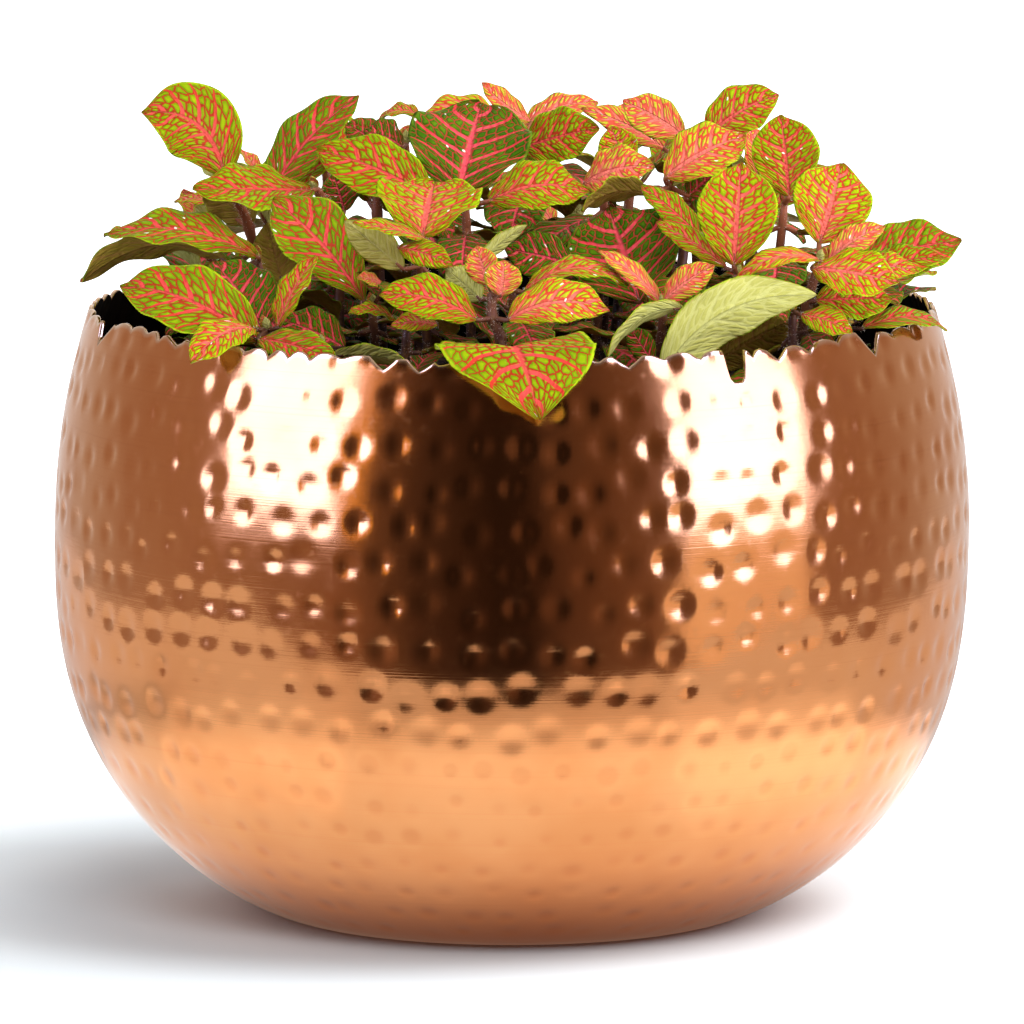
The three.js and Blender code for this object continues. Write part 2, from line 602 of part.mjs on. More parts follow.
// Back shoots: pairs of leaves crosswise down each stem. A leaf that comes too near another shoot's
// leaf or the rim is tried at other pitches and then shorter, and is left out if nothing clears.
function backShoots(front) {
  const placed = front.flatMap((one) => [stemCloud(one), ...one.leaves.map(leafCloud)]);
  const stems = BACK_SHOOTS.map(([foot, top]) => stemCloud({ foot, joints: [top] }));
  return BACK_SHOOTS.map(([foot, top, heading], k) => {
    const joints = [];
    const leaves = [];
    const own = [];
    const others = [...placed, ...stems.filter((_, i) => i !== k)];
    PAIRS.forEach(([drop, length, ratio, pitch, age], tier) => {
      const share = drop / (top[2] - SOIL_Z);
      const joint = [
        top[0] + (foot[0] - top[0]) * share,
        top[1] + (foot[1] - top[1]) * share,
        top[2] - drop,
      ];
      joints.unshift(joint);
      for (const half of [0, 180]) {
        const index = 100 + k * 10 + tier * 2 + half / 180;
        const turn = heading + 90 * tier + half + TURN_SPREAD * (draw(index) - 0.5);
        const long = length * (LENGTH_LEAST + LENGTH_SPREAD * draw(index + 300));
        const clear = [1, 0.75].flatMap((size) =>
          PITCH_TRIES.map((more) => {
            const reach = long * size;
            return freeLeaf(joint, turn, pitch + more, reach, reach * ratio, age);
          }),
        );
        const fits = clear.find((leaf) => isClear(leafCloud(leaf), others));
        if (fits) {
          leaves.push(fits);
          own.push(leafCloud(fits));
        }
      }
    });
    placed.push(...own);
    return { foot, joints, leaves };
  });
}

// Whether a leaf's points stay clear of the soil, the bowl's rim and other leaves' and stems' points
function isClear(cloud, others) {
  const nearRim = cloud.some((p) => Math.hypot(p.x, p.y) > RIM_KEEP_OUT && p.z < RIM_CLEAR_Z);
  const near = (other) =>
    other[0].distanceTo(cloud[0]) < FAR_APART &&
    cloud.some((p) => other.some((q) => p.distanceTo(q) < CLEARANCE));
  const nearSoil = cloud.some((p) => p.z < LEAF_LEAST_Z);
  return !nearRim && !nearSoil && !others.some(near);
}

const frontShoots = SHOOTS.map(([foot, joints, leaves]) => ({ foot, joints, leaves }));
const shoots = [...frontShoots, ...backShoots(frontShoots)];

const copper = { color: 0xb8714c, roughness: 0.25, metalness: 1 };
const earth = { color: 0x2b2019, roughness: 1, metalness: 0 };
const foliage = { color: 0x8fa838, roughness: 0.55, metalness: 0 };

const plant = new THREE.Group();

function addPiece(name, geometry, finish) {
  const piece = new THREE.Mesh(geometry, new THREE.MeshStandardMaterial(finish));
  piece.name = name;
  plant.add(piece);
}

addPiece("copper_bowl", bowl(), copper);
addPiece("soil", soil(shoots.map(({ foot }) => foot)), earth);
shoots.forEach((one, i) => {
  addPiece("leafy_stem_" + String(i + 1).padStart(2, "0"), geometryOf(shoot(one)), foliage);
});

export default plant;
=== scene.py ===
import math

import bpy
import numpy as np
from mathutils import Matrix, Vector


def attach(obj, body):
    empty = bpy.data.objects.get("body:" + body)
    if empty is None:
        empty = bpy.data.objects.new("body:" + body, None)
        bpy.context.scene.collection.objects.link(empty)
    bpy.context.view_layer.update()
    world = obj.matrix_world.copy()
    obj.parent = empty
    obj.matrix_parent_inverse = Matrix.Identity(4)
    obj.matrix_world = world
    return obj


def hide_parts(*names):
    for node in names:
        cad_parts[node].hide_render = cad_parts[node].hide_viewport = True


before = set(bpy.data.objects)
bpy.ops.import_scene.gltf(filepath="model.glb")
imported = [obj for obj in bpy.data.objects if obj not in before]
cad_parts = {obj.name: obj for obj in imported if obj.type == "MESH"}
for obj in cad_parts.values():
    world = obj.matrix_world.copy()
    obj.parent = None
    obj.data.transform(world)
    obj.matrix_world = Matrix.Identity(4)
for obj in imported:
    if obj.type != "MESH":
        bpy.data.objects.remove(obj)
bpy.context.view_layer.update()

MM = 0.001
DEGREE = math.pi / 180

# Bowl: outline and sheet
RIM_Z = 159.5
RIM_RADIUS = 110.7
WIDEST_RADIUS = 120.0
WIDEST_Z = 100.0
BASE_RADIUS = 60.0
BASE_EDGE = 2.0
SHOULDER_POWER = 2.05
BELLY_POWER_Z = 2.63
BELLY_POWER_R = 1.34
WALL = 1.6
RIM_WALL = 1.2
RIM_ROUND = 0.25
BASE_RINGS = [15, 30, 45, BASE_RADIUS - BASE_EDGE]
LINING_RINGS_Z = [140, 125, 110, 95, 80, 60, 40, 25, 14, 6]
LINING_FLOOR_RINGS = [BASE_RADIUS - WALL, 30]
BOWL_COLUMNS = 560
BOWL_RINGS = 126

# Bowl: scallops of the rim. Their depths are a least and a spread on top of it. A drift is how far it
# shifts the valleys in degrees, how many waves it has round the bowl, and its lag.
NOTCH_ROOM = 9.0
NOTCH_RINGS = 8
SCALLOPS = 76
SCALLOP_DRIFTS = [[2.9, 5, 0.6], [1.5, 11, 2.1]]
SCALLOP_DEPTHS = (1.4, 1.6)
SCALLOP_FULLNESS = 0.6

# Bowl: hammer marks. Drifts are shares of the pitch, and reaches and depths are shares as well, a
# least and a spread. Low on the wall the marks have a faint share of their depth, which they reach
# after a first run, and they get the rest over a stretch further up. Runs go along the wall from the
# edge of the base.
DIMPLE_PITCH = 10.6
DIMPLE_RADIUS = 4.3
DIMPLE_DEPTH = 0.55
DIMPLES_LEAST = 12
DIMPLE_DRIFT_ROUND = 0.42
DIMPLE_DRIFT_ALONG = 0.4
DIMPLE_REACHES = (0.75, 0.4)
DIMPLE_DEPTHS = (0.6, 0.6)
DIMPLE_FAINT = 0.45
DIMPLE_FAINT_RUN = 20
DIMPLE_FULL_FROM = 60
DIMPLE_FULL_OVER = 34

# Bowl: slow dents of the wall, each a wave: depth, waves round the bowl, turn for each mm of height, lag
DENTS = [[0.15, 3, 0.05, 0], [0.12, 7, -0.04, 1], [0.072, 13, 0.09, 0]]
DENT_FULL_RUN = 60

# Notches in the rim: degrees from the front towards +X, depth, reach to the left and to the right in
# degrees, and a power: 1 for a sharp notch, more for a slot with a round bottom
NOTCHES = [
    [-72.2, 6.4, 1.7, 4.4, 1.0],
    [-51.0, 2.0, 2.0, 2.0, 1.1],
    [-17.0, 3.2, 2.2, 1.8, 1.2],
    [-12.2, 3.0, 1.8, 2.2, 1.2],
    [15.5, 2.8, 2.2, 2.0, 1.1],
    [30.7, 8.2, 1.7, 1.6, 5.0],
    [37.5, 3.2, 1.8, 1.8, 1.2],
    [56.4, 5.6, 3.2, 2.6, 1.1],
    [97.0, 4.4, 2.4, 2.2, 1.2],
    [138.0, 5.2, 1.8, 3.4, 1.1],
    [171.0, 3.4, 2.2, 2.2, 2.0],
    [-152.0, 6.2, 2.0, 2.4, 1.3],
    [-121.0, 3.6, 2.6, 2.0, 1.1],
]
NOTCH_COLUMNS = [-1, -0.9, -0.7, -0.4, 0, 0.4, 0.7, 0.9, 1]
NOTCH_CLEARANCE = 0.25

# Places where the rim as a whole stands a little higher or lower: degrees, height, reach in degrees
RIM_SWELLS = [[-62.0, 1.3, 7.0], [50.5, 1.6, 4.5], [26.0, 0.5, 6.0], [-10.0, -0.8, 7.0]]

# Soil, with crumbs from the least size up to that and the spread
SOIL_Z = 131.0
SOIL_ROUGHNESS = 1.6
SOIL_GAP = 0.4
WALL_SAG = 0.8
SOIL_SIDE_Z = [5, 13, 28, 52, 85, 115, 126]
SOIL_COLUMNS = 200
SOIL_RINGS = 80
SOIL_EDGE = 6
CRUMB_LEVEL = 0.6
CRUMBS = 900
CRUMB_SIDES = 5
CRUMB_LEAST = 0.7
CRUMB_SPREAD = 1.5
GRIT_SHARE = 0.1

# Stems, stalks and hairs
STEM_RADIUS = 1.5
STEM_SIDES = 10
FOOT_DEPTH = 12.0
KNOT_REACH = 1.6
STALK_RADII = (0.85, 0.45)
STALK_SIDES = 7
HAIR_RADIUS = 0.045
HAIR_LENGTHS = (0.5, 0.8)
STEM_HAIRS = 260
STEM_HAIR_LENGTH = 1.1
STALK_HAIRS = 34
STALK_HAIR_LENGTH = 0.8

# Leaf blades. Their rows and the columns of half a blade are a number for each mm of width, held
# between two limits.
BLADE_ROWS = (2.0, 14, 44)
BLADE_COLUMNS = (0.55, 4, 11)
BLADE_FULLNESS = 0.62
TIP_FINENESS = 0.3
FOLD = 0.1
BLADE_HALF_THICKNESS = 0.26
WAVE = 0.045
WAVES = 3
SIDE_SHIFT = 0.8
VEIN_PAIRS_LEAST = 4.0
VEIN_PAIRS_PER_WIDTH = 0.1
VEIN_PAIRS_MOST = 5.8
VEIN_SWEEP = 0.36
VEIN_SWEEP_LOSS = 0.55
VEIN_CURVE = 1.2
VEIN_STAGGER = 0.2
CELLS_PER_WIDTH = 0.19
QUILT = 0.32
RIB_SUNK = 0.16
RIB_RIDGE = 0.5

# Bud of two tiny leaves: length, width, and from its tilt to its age what a leaf has
BUD_LENGTH = 4.2
BUD_WIDTH = 2.6
BUD_SHAPE = [10, -0.12, 0, 30, 1, 0.05]

# The shoots that show from the front, each with its foot in the soil, the joints of its stem from the
# lowest up, and its leaves. A leaf is: base, tip, width, where its upper face looks (degrees turned from
# the front towards +X, degrees tilted up), arch along the midrib and sideways bow as shares of its
# length, cupping in degrees, a power that moves its widest place towards the tip, age from 0 to 1, and
# for a lopsided leaf how far one side runs ahead of the other.
# A high age is partly painted shade: leaves in shade get higher ages, for darker greens and browner
# under faces
SHOOTS = [
    [[-58, -22], [[-66, -24, 174]], [
      [[-66, -34, 176], [-105, -26, 181], 19, 0, 68, 0.12, 0, 0, 1.1, 0.6],
      [[-71, -14, 171], [-113, -4, 166], 20, 180, 62, 0.2, 0, 0, 1, 0.8],
    ]],
    [[-58, -58], [[-63, -65, 161]], [
      [[-65, -72, 159], [-101, -54, 171], 20, -10, 42, 0.1, 0.03, 5, 1, 0.58],
      [[-64, -58, 160], [-77, -42, 176], 20, 15, 25, 0.05, 0, 0, 1, 0.9],
      [[-60, -68, 162], [-50, -62, 180], 11, -50, 25, 0.06, 0, 10, 1, 0.3],
      [[-65, -76, 160], [-44, -93, 156], 11, 0, 45, 0.06, 0, 0, 1, 0.6],
      [[-66, -72, 162], [-82, -87, 155], 13, -10, 50, 0.18, 0, 0, 1.1, 0.25],
    ]],
    [[-34, -44], [[-36, -50, 165]], [
      [[-38, -54, 167], [-62, -40, 192], 20, 12, 28, 0.05, 0.03, 8, 1.35, 0.65],
      [[-33, -56, 171], [-40, -60, 174], 6, 0, 55, 0.1, 0, 0, 1, 0.1],
    ]],
    [[-62, 8], [[-69, 8, 179], [-73, 0, 189]], [
      [[-75, -6, 194], [-97, 2, 210], 21, -10, 22, 0.06, 0.22, 8, 1, 0.35],
      [[-68, 12, 179], [-81, 8, 189], 14, 180, 40, 0.1, 0, 0, 1, 0.6],
      [[-75, 18, 182], [-89, 22, 184], 9, 0, 75, 0.15, 0, 0, 1, 0.2],
    ]],
    [[-46, -6], [[-46, 0, 180], [-51, -8, 191]], [
      [[-52, -12, 191], [-83, -26, 193], 20, 0, 58, 0.04, -0.05, 0, 1, 0.45],
      [[-44, 2, 184], [-47, 2, 194], 12, 20, 10, 0.05, 0, 0, 1, 0.95],
    ]],
    [[-56, 16], [[-60, -4, 162], [-62, 8, 186]], [
      [[-63, 6, 188], [-40, 16, 213], 17, -30, 30, 0.04, -0.05, 8, 1, 0.7],
      [[-60, -7, 166], [-64, -5, 182], 12, 180, 10, 0.05, 0, 0, 1, 1],
    ]],
    [[-10, -14], [[-12, -20, 188]], [
      [[-19, -24, 189], [-51, -16, 202], 18, -10, 42, 0.1, 0, 5, 1.1, 0.4],
      [[-14, -12, 190], [-8, 14, 211], 33, -5, 28, 0.04, 0, 12, 1.05, 0.95],
      [[-6, -28, 190], [20, -25, 192], 17, 10, 48, 0.17, 0, 0, 1, 0.35],
    ]],
    [[-20, -46], [[-24, -52, 182]], [
      [[-23, -56, 184], [-20, -31, 195], 28, 0, 60, 0.08, 0, 15, 1.1, 0.3],
      [[-28, -58, 176], [-43, -62, 189], 10, 180, 10, 0.06, 0, 0, 1, 0.55],
      [[-22, -62, 184], [-41, -68, 189], 8, 0, 66, 0.04, 0, 0, 1, 0.3],
      [[-29, -62, 182], [-15, -68, 178], 8, 0, 35, 0.08, 0, 0, 1, 0.35],
    ]],
    [[-24, 26], [[-28, 26, 199]], [
      [[-24, 30, 206], [-36, 34, 203], 10, 0, 75, 0.22, 0, 0, 1, 0.3],
      [[-29, 20, 199], [-39, 20, 203], 12, 0, 45, 0.1, 0, 0, 1, 0.95],
      [[-34, 28, 198], [-44, 30, 204], 10, 0, 35, 0.05, 0, 0, 1, 0.8],
    ]],
    [[8, 22], [[3, 26, 201]], [
      [[1, 26, 202], [-25, 20, 206], 16, -10, 68, 0.18, 0, 0, 1, 0.2],
      [[5, 34, 204], [-8, 30, 215], 8, 0, 45, -0.08, 0, 5, 1, 0.1],
      [[3, 38, 202], [23, 44, 208], 11, 0, 60, 0.12, 0, 0, 1, 0.1],
      [[2, 14, 199], [23, 10, 205], 17, 5, 38, 0.04, 0, 0, 1, 0.5],
    ]],
    [[-4, -66], [[-3, -80, 161], [-5, -80, 166], [-5, -76, 172]], [
      [[-6, -76, 174], [-9, -74, 184], 9, -10, 10, 0.06, 0, 15, 1, 0.1],
      [[-3, -82, 172], [-2, -80, 181], 10, 8, 10, 0.06, 0, 15, 1, 0.1],
      [[-9, -84, 166], [-34, -82, 172], 14, -5, 45, 0.12, 0.03, 5, 1, 0.36],
      [[-1, -84, 166], [25, -82, 168], 14, 5, 42, 0.14, -0.06, 5, 1, 0.2],
      [[-1, -94, 156], [7, -121, 145], 38, -3, 47, 0.4, 0, 0, 0.9, 0.4, -0.42],
    ]],
    [[2, -50], [[0, -60, 171]], [
      [[-8, -66, 169], [-17, -64, 177], 9, 180, 5, 0.05, 0, 0, 1, 0.5],
      [[3, -66, 171], [30, -62, 172], 12, 0, 70, 0.22, 0, 0, 1, 0.3],
      [[-9, -58, 177], [4, -54, 187], 5, 180, 30, 0.08, 0, 0, 1, 0.4],
    ]],
    [[20, -30], [[23, -32, 168]], [
      [[16, -34, 174], [-2, -32, 178], 13, 0, 25, 0.08, 0, 0, 1, 1],
      [[33, -38, 165], [25, -24, 188], 31, 0, 15, 0.05, 0, 12, 1.05, 1],
    ]],
    [[36, -56], [[39, -66, 167]], [
      [[44, -76, 168], [24, -92, 157], 8, 180, 40, 0.1, -0.12, 0, 1, 0.45],
      [[38, -64, 168], [22, -60, 181], 8, 40, 40, 0.08, 0, 0, 1, 0.1],
      [[39, -68, 169], [52, -66, 178], 9, -10, 30, 0.08, 0, 0, 1, 0.1],
    ]],
    [[54, -46], [[58, -58, 175]], [
      [[55, -56, 176], [37, -48, 187], 8, 0, 55, 0.06, 0, 0, 1, 0.3],
      [[57, -60, 177], [59, -52, 203], 21, -3, 14, 0.05, 0, 10, 1.1, 0.3],
    ]],
    [[72, -48], [[76, -57, 167], [79, -60, 178]], [
      [[78, -60, 168], [98, -56, 168], 13, 0, 38, 0.02, 0, 0, 1, 0.5],
      [[79, -54, 182], [85, -46, 202], 21, 5, 15, 0.05, 0, 10, 1.1, 0.25],
      [[81, -60, 178], [96, -58, 187], 9, -10, 40, 0.12, 0, 5, 1, 0.1],
      [[77, -66, 177], [99, -72, 174], 16, 5, 45, 0.04, 0, 0, 1.1, 0.25],
      [[79, -66, 179], [57, -70, 174], 8, 0, 60, 0.2, 0, 0, 1, 0.2],
    ]],
    [[82, -24], [[88, -36, 172]], [
      [[89, -28, 173], [117, -22, 179], 18, -10, 40, 0.06, 0, 0, 1, 0.65],
      [[89, -38, 172], [112, -34, 176], 11, 0, 50, 0.08, 0, 0, 1, 0.5],
      [[87, -46, 174], [105, -48, 174], 10, 0, 50, 0.1, 0, 0, 1, 0.2],
    ]],
    [[66, -6], [[71, -14, 188]], [
      [[72, -18, 190], [70, -12, 211], 18, 5, 12, 0.05, 0, 10, 1.1, 0.35],
    ]],
    [[42, -4], [[41, -12, 192]], [
      [[40, -18, 195], [61, -10, 205], 17, -15, 35, 0.1, 0, 5, 1, 0.18],
      [[46, -14, 190], [57, -12, 199], 14, 20, 30, 0.06, 0, 0, 1, 0.8],
      [[36, -26, 192], [18, -34, 188], 13, 180, 50, 0.16, 0, 0, 1, 0.6],
    ]],
    [[24, 2], [[24, -6, 191]], [
      [[29, 4, 195], [26, 6, 206], 11, 10, 20, 0.05, 0, 10, 1, 0.25],
      [[19, -14, 193], [37, -18, 198], 16, 0, 45, 0.12, 0, 0, 0.9, 0.15],
    ]],
    [[50, -24], [[49, -32, 179]], [
      [[49, -38, 181], [33, -36, 195], 10, 30, 40, 0.06, 0, 0, 1, 0.6],
    ]],
    [[50, 18], [[47, 10, 200]], [
      [[40, 24, 198], [18, 22, 209], 9, 10, 42, 0.08, 0, 0, 1, 0.12],
      [[45, 8, 203], [29, 14, 212], 12, 0, 32, 0.05, 0, 0, 1, 0.1],
      [[51, 4, 203], [70, 8, 214], 15, -10, 35, 0.06, -0.04, 5, 1, 0.3],
    ]],
    [[72, -66], [[72, -66, 166]], [
      [[74, -74, 166], [87, -79, 162], 9, 0, 45, 0.1, 0, 0, 1, 0.35],
    ]],
    [[82, -42], [[86, -52, 160]], [
      [[90, -54, 160], [113, -28, 156], 9, 10, 55, 0.12, 0, 0, 1, 0.6],
    ]],
    [[-28, -68], [[-27, -72, 162]], [
      [[-30, -70, 164], [-42, -72, 166], 9, 0, 75, 0.18, 0, 0, 1, 0.4],
      [[-19, -78, 164], [-31, -80, 164], 7, 0, 50, 0.1, 0, 0, 1, 0.2],
    ]],
    [[-50, -66], [[-49, -70, 157]], [
      [[-43, -62, 156], [-60, -58, 163], 14, 0, 40, 0.06, 0, 0, 1, 1],
      [[-46, -78, 156], [-24, -99, 155], 8, 180, 35, 0.08, 0, 0, 1, 0.53],
    ]],
    [[44, -68], [[46, -72, 152]], [
      [[39, -84, 153], [78, -81, 172], 16, 180, 15, 0.1, 0.12, 0, 0.85, 0.3],
      [[36, -75, 154], [30, -73, 163], 7, 0, 10, 0.05, 0, 0, 1, 1],
      [[52, -60, 152], [73, -56, 163], 18, 180, 30, 0.05, 0, 0, 1, 1],
    ]],
]

# The shoots behind them: foot, top joint, and the heading of the first pair of leaves in degrees
BACK_SHOOTS = [
    [[-68, 28], [-80, 30, 170], 30],
    [[-60, 46], [-64, 56, 180], 65],
    [[-42, 52], [-50, 66, 190], 70],
    [[-16, 62], [-20, 82, 180], 10],
    [[14, 62], [14, 84, 166], 55],
    [[42, 56], [48, 72, 186], 100],
    [[60, 36], [65, 42, 183], 45],
    [[-34, 36], [-36, 42, 186], 130],
    [[26, 34], [32, 46, 192], 0],
    [[80, 6], [84, 10, 160], 20],
]

# Pairs of leaves of such a shoot: drop below the top, length, width to length, pitch, age
PAIRS = [
    [0, 14, 0.7, 55, 0.1],
    [7, 29, 0.66, 22, 0.4],
    [18, 36, 0.62, -8, 0.85],
]

# How a free leaf is placed. Each leaf has its own numbers to draw by, from BACK_DRAWS or LOW_DRAWS up.
PITCH_TRIES = [0, 12, -12, 24, -24, 36]
CLOUD_STEP = 2.5
CLEARANCE = 3.2
RIM_KEEP_OUT = 106.0
RIM_CLEAR_Z = 163.0
LEAF_LEAST_Z = 139.0
TURN_SPREAD = 24.0
FREE_LENGTHS = (0.9, 0.25)
FREE_SIZES = (1, 0.75)
STALK_LENGTH = 4.0
FREE_ARCH = 0.1
FREE_CUP = 6
FREE_BELLY = 1.05
BACK_DRAWS = 100
BACK_LENGTH_DRAWS = 300

# Old leaves low on every shoot: drop below its lowest joint, length, width to length, and pitch
LOW_LEAVES = [[6, 24, 0.62, -24], [14, 25, 0.6, -20], [22, 20, 0.6, -6]]
LOW_SIZES = (1.0, 0.75, 0.55)
LOW_CLEARANCE = 1.5
LOW_OFF_STEM = 3.5
LOW_LOWEST_SHARE = 0.8
LOW_TURN_SPREAD = 50
# Their high ages are partly painted shade, darkening these low leaves
LOW_AGES = (0.8, 0.2)
LOW_LENGTHS = (0.85, 0.3)
LOW_DRAWS = 700


def draw(index):
    """A number from 0 to 1 for each index: the fraction of a large multiple of a sine."""
    x = np.sin(np.asarray(index, float) * 12.9898) * 43758.5453
    return x - np.floor(x)


def drawn(size, index):
    """A number for each index, from a least up to the least plus a spread."""
    least, spread = size
    return least + spread * draw(index)


def unit(v):
    """Vectors along the last axis made one long."""
    return v / np.maximum(np.linalg.norm(v, axis=-1, keepdims=True), 1e-12)


def smooth(x):
    """0 below 0, 1 above 1 and 3x^2 - 2x^3 between."""
    x = np.clip(x, 0.0, 1.0)
    return x * x * (3 - 2 * x)


def turned_off(angle, centre):
    """How far angles are turned from a centre, from -180 to 180 degrees."""
    return (angle - centre + 180) % 360 - 180


def skin(rings, first, last):
    """Closed surface over rings of points, an array (rows, around, 3), with a pole at each end. It faces
    out where the rings turn left as seen from the end they run to. Gives points and lists of faces."""
    rows, around = rings.shape[:2]
    points = np.concatenate([rings.reshape(-1, 3), [first], [last]])
    i = np.arange(around)
    j = (i + 1) % around
    k = np.arange(rows - 1)[:, None] * around
    quads = np.stack([k + i, k + j, k + around + j, k + around + i], -1).reshape(-1, 4)
    end = (rows - 1) * around
    count = rows * around
    foot = np.stack([j, i, np.full(around, count)], -1)
    top = np.stack([end + i, end + j, np.full(around, count + 1)], -1)
    return points, quads.tolist() + foot.tolist() + top.tolist()


class Piece:
    """Gathers closed surfaces, each with its finish and its point values, into one mesh object."""

    def __init__(self, name, finishes):
        self.name = name
        self.finishes = finishes
        self.points = []
        self.faces = []
        self.finish = []
        self.values = []
        self.count = 0

    def add(self, points, faces, finish=0, values=None):
        """finish is a number or one for each face, and values is an array (points, 4) that the
        materials read as two UV maps."""
        self.points.append(points)
        self.faces.extend([[c + self.count for c in face] for face in faces])
        self.finish.extend(np.broadcast_to(finish, len(faces)).tolist())
        self.values.append(np.zeros((len(points), 4)) if values is None else values)
        self.count += len(points)

    def make(self, slot, *nodes):
        """The object, with its two UV maps, in place of the given nodes."""
        mesh = bpy.data.meshes.new(self.name)
        points = np.concatenate(self.points) * MM
        mesh.from_pydata(points.tolist(), [], self.faces)
        for material in self.finishes:
            mesh.materials.append(material)
        mesh.polygons.foreach_set("material_index", self.finish)
        mesh.polygons.foreach_set("use_smooth", [True] * len(self.faces))
        corner = np.empty(len(mesh.loops), int)
        mesh.loops.foreach_get("vertex_index", corner)
        values = np.concatenate(self.values)[corner]
        for name, columns in (("place", values[:, :2]), ("growth", values[:, 2:])):
            layer = mesh.uv_layers.new(name=name)
            layer.data.foreach_set("uv", np.ascontiguousarray(columns, np.float32).ravel())
        mesh.update()
        piece = bpy.data.objects.new(self.name, mesh)
        bpy.context.scene.collection.objects.link(piece)
        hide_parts(*nodes)
        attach(piece, "root")


def bowl_radius(z):
    """Outside radius at a height: a superellipse below the widest place, a power curve above it."""
    z = np.asarray(z, float)
    above = np.clip((z - WIDEST_Z) / (RIM_Z - WIDEST_Z), 0, None)
    below = 1 - np.clip(1 - z / WIDEST_Z, 0, 1) ** BELLY_POWER_Z
    low = BASE_RADIUS + (WIDEST_RADIUS - BASE_RADIUS) * below ** (1 / BELLY_POWER_R)
    high = WIDEST_RADIUS - (WIDEST_RADIUS - RIM_RADIUS) * above ** SHOULDER_POWER
    return np.where(z > WIDEST_Z, high, low)


# Heights up the outline, closer together near the base, and how far along the wall each one is
FINE_Z = RIM_Z * 1.05 * np.linspace(0, 1, 4001) ** 2
FINE_RUN = np.concatenate([[0], np.cumsum(np.hypot(np.diff(FINE_Z), np.diff(bowl_radius(FINE_Z))))])


def rim_angles():
    """Angles of the bowl's columns in degrees: even ones between the notches, closer ones in them."""
    angles = np.arange(BOWL_COLUMNS) * 360.0 / BOWL_COLUMNS
    extra = []
    for centre, _, left, right, _ in NOTCHES:
        off = turned_off(angles, centre)
        angles = angles[(off < -left - NOTCH_CLEARANCE) | (off > right + NOTCH_CLEARANCE)]
        extra += [(centre + share * (left if share < 0 else right)) % 360 for share in NOTCH_COLUMNS]
    return np.sort(np.concatenate([angles, extra]))


def valley_depth(number):
    """Depth of the valley before a scallop, by its number round the rim."""
    return drawn(SCALLOP_DEPTHS, (number % SCALLOPS) * 2)


def rim_top(angle):
    """Height of the rim at angles in degrees. Between two scallop valleys the rim is a sine to a power,
    so it is a round arch with sharp valleys, and two slow sines shift the valleys so that no two arches
    are alike. A notch is one minus a power of the share of its reach, and a swell is a bell curve."""
    even = np.linspace(-90, 450, 5401)
    moved = even + sum(far * np.sin(times * even * DEGREE + lag) for far, times, lag in SCALLOP_DRIFTS)
    place = np.interp(angle % 360, moved, even) % 360 / 360.0 * SCALLOPS
    i = np.floor(place)
    share = place - i
    valley = valley_depth(i) * (1 - share) + valley_depth(i + 1) * share
    drop = valley * (1 - np.sin(np.pi * share) ** SCALLOP_FULLNESS)
    top = np.full_like(place, RIM_Z)
    for centre, deep, left, right, power in NOTCHES:
        off = turned_off(angle, centre)
        share = np.abs(off) / np.where(off < 0, left, right)
        inside = np.clip(share, 0, 1)
        drop = np.maximum(drop * np.clip(share - 0.6, 0, 1), deep * (1 - inside**power))
    for centre, height, reach in RIM_SWELLS:
        top = top + height * np.exp(-((turned_off(angle, centre) / reach) ** 2))
    return top - drop


def dimple_depth(run, angle, radius):
    """Depth of the hammer marks. They sit in rows along the wall and columns round it, each moved a
    little, and each is a bowl (1 - (distance / reach)^2)^2 deep. Rows nearer the base are shallower."""
    deepest = np.zeros_like(run)
    row = np.floor(run / DIMPLE_PITCH)
    for step in (-1, 0, 1):
        k = row + step
        middle = (k + 0.5) * DIMPLE_PITCH
        count = np.round(2 * np.pi * np.interp(middle, FINE_RUN, bowl_radius(FINE_Z)) / DIMPLE_PITCH)
        count = np.maximum(count, DIMPLES_LEAST)
        lean = draw(k + 7)
        column = np.floor(angle / 360 * count - lean)
        for side in (-1, 0, 1):
            j = (column + side) % count
            seed = k * 611 + j * 3
            off = angle / 360 * count - lean - (column + side) - 0.5
            off = off - DIMPLE_DRIFT_ROUND * (draw(seed) - 0.5)
            across = off * 2 * np.pi * radius / count
            along = run - middle - DIMPLE_DRIFT_ALONG * DIMPLE_PITCH * (draw(seed + 1) - 0.5)
            reach = DIMPLE_RADIUS * drawn(DIMPLE_REACHES, seed + 2)
            near = np.clip(1 - (across**2 + along**2) / reach**2, 0, 1)
            depth = DIMPLE_DEPTH * drawn(DIMPLE_DEPTHS, seed + 5)
            deepest = np.maximum(deepest, depth * near**2)
    faint = DIMPLE_FAINT * smooth(run / DIMPLE_FAINT_RUN)
    return deepest * (faint + (1 - DIMPLE_FAINT) * smooth((run - DIMPLE_FULL_FROM) / DIMPLE_FULL_OVER))


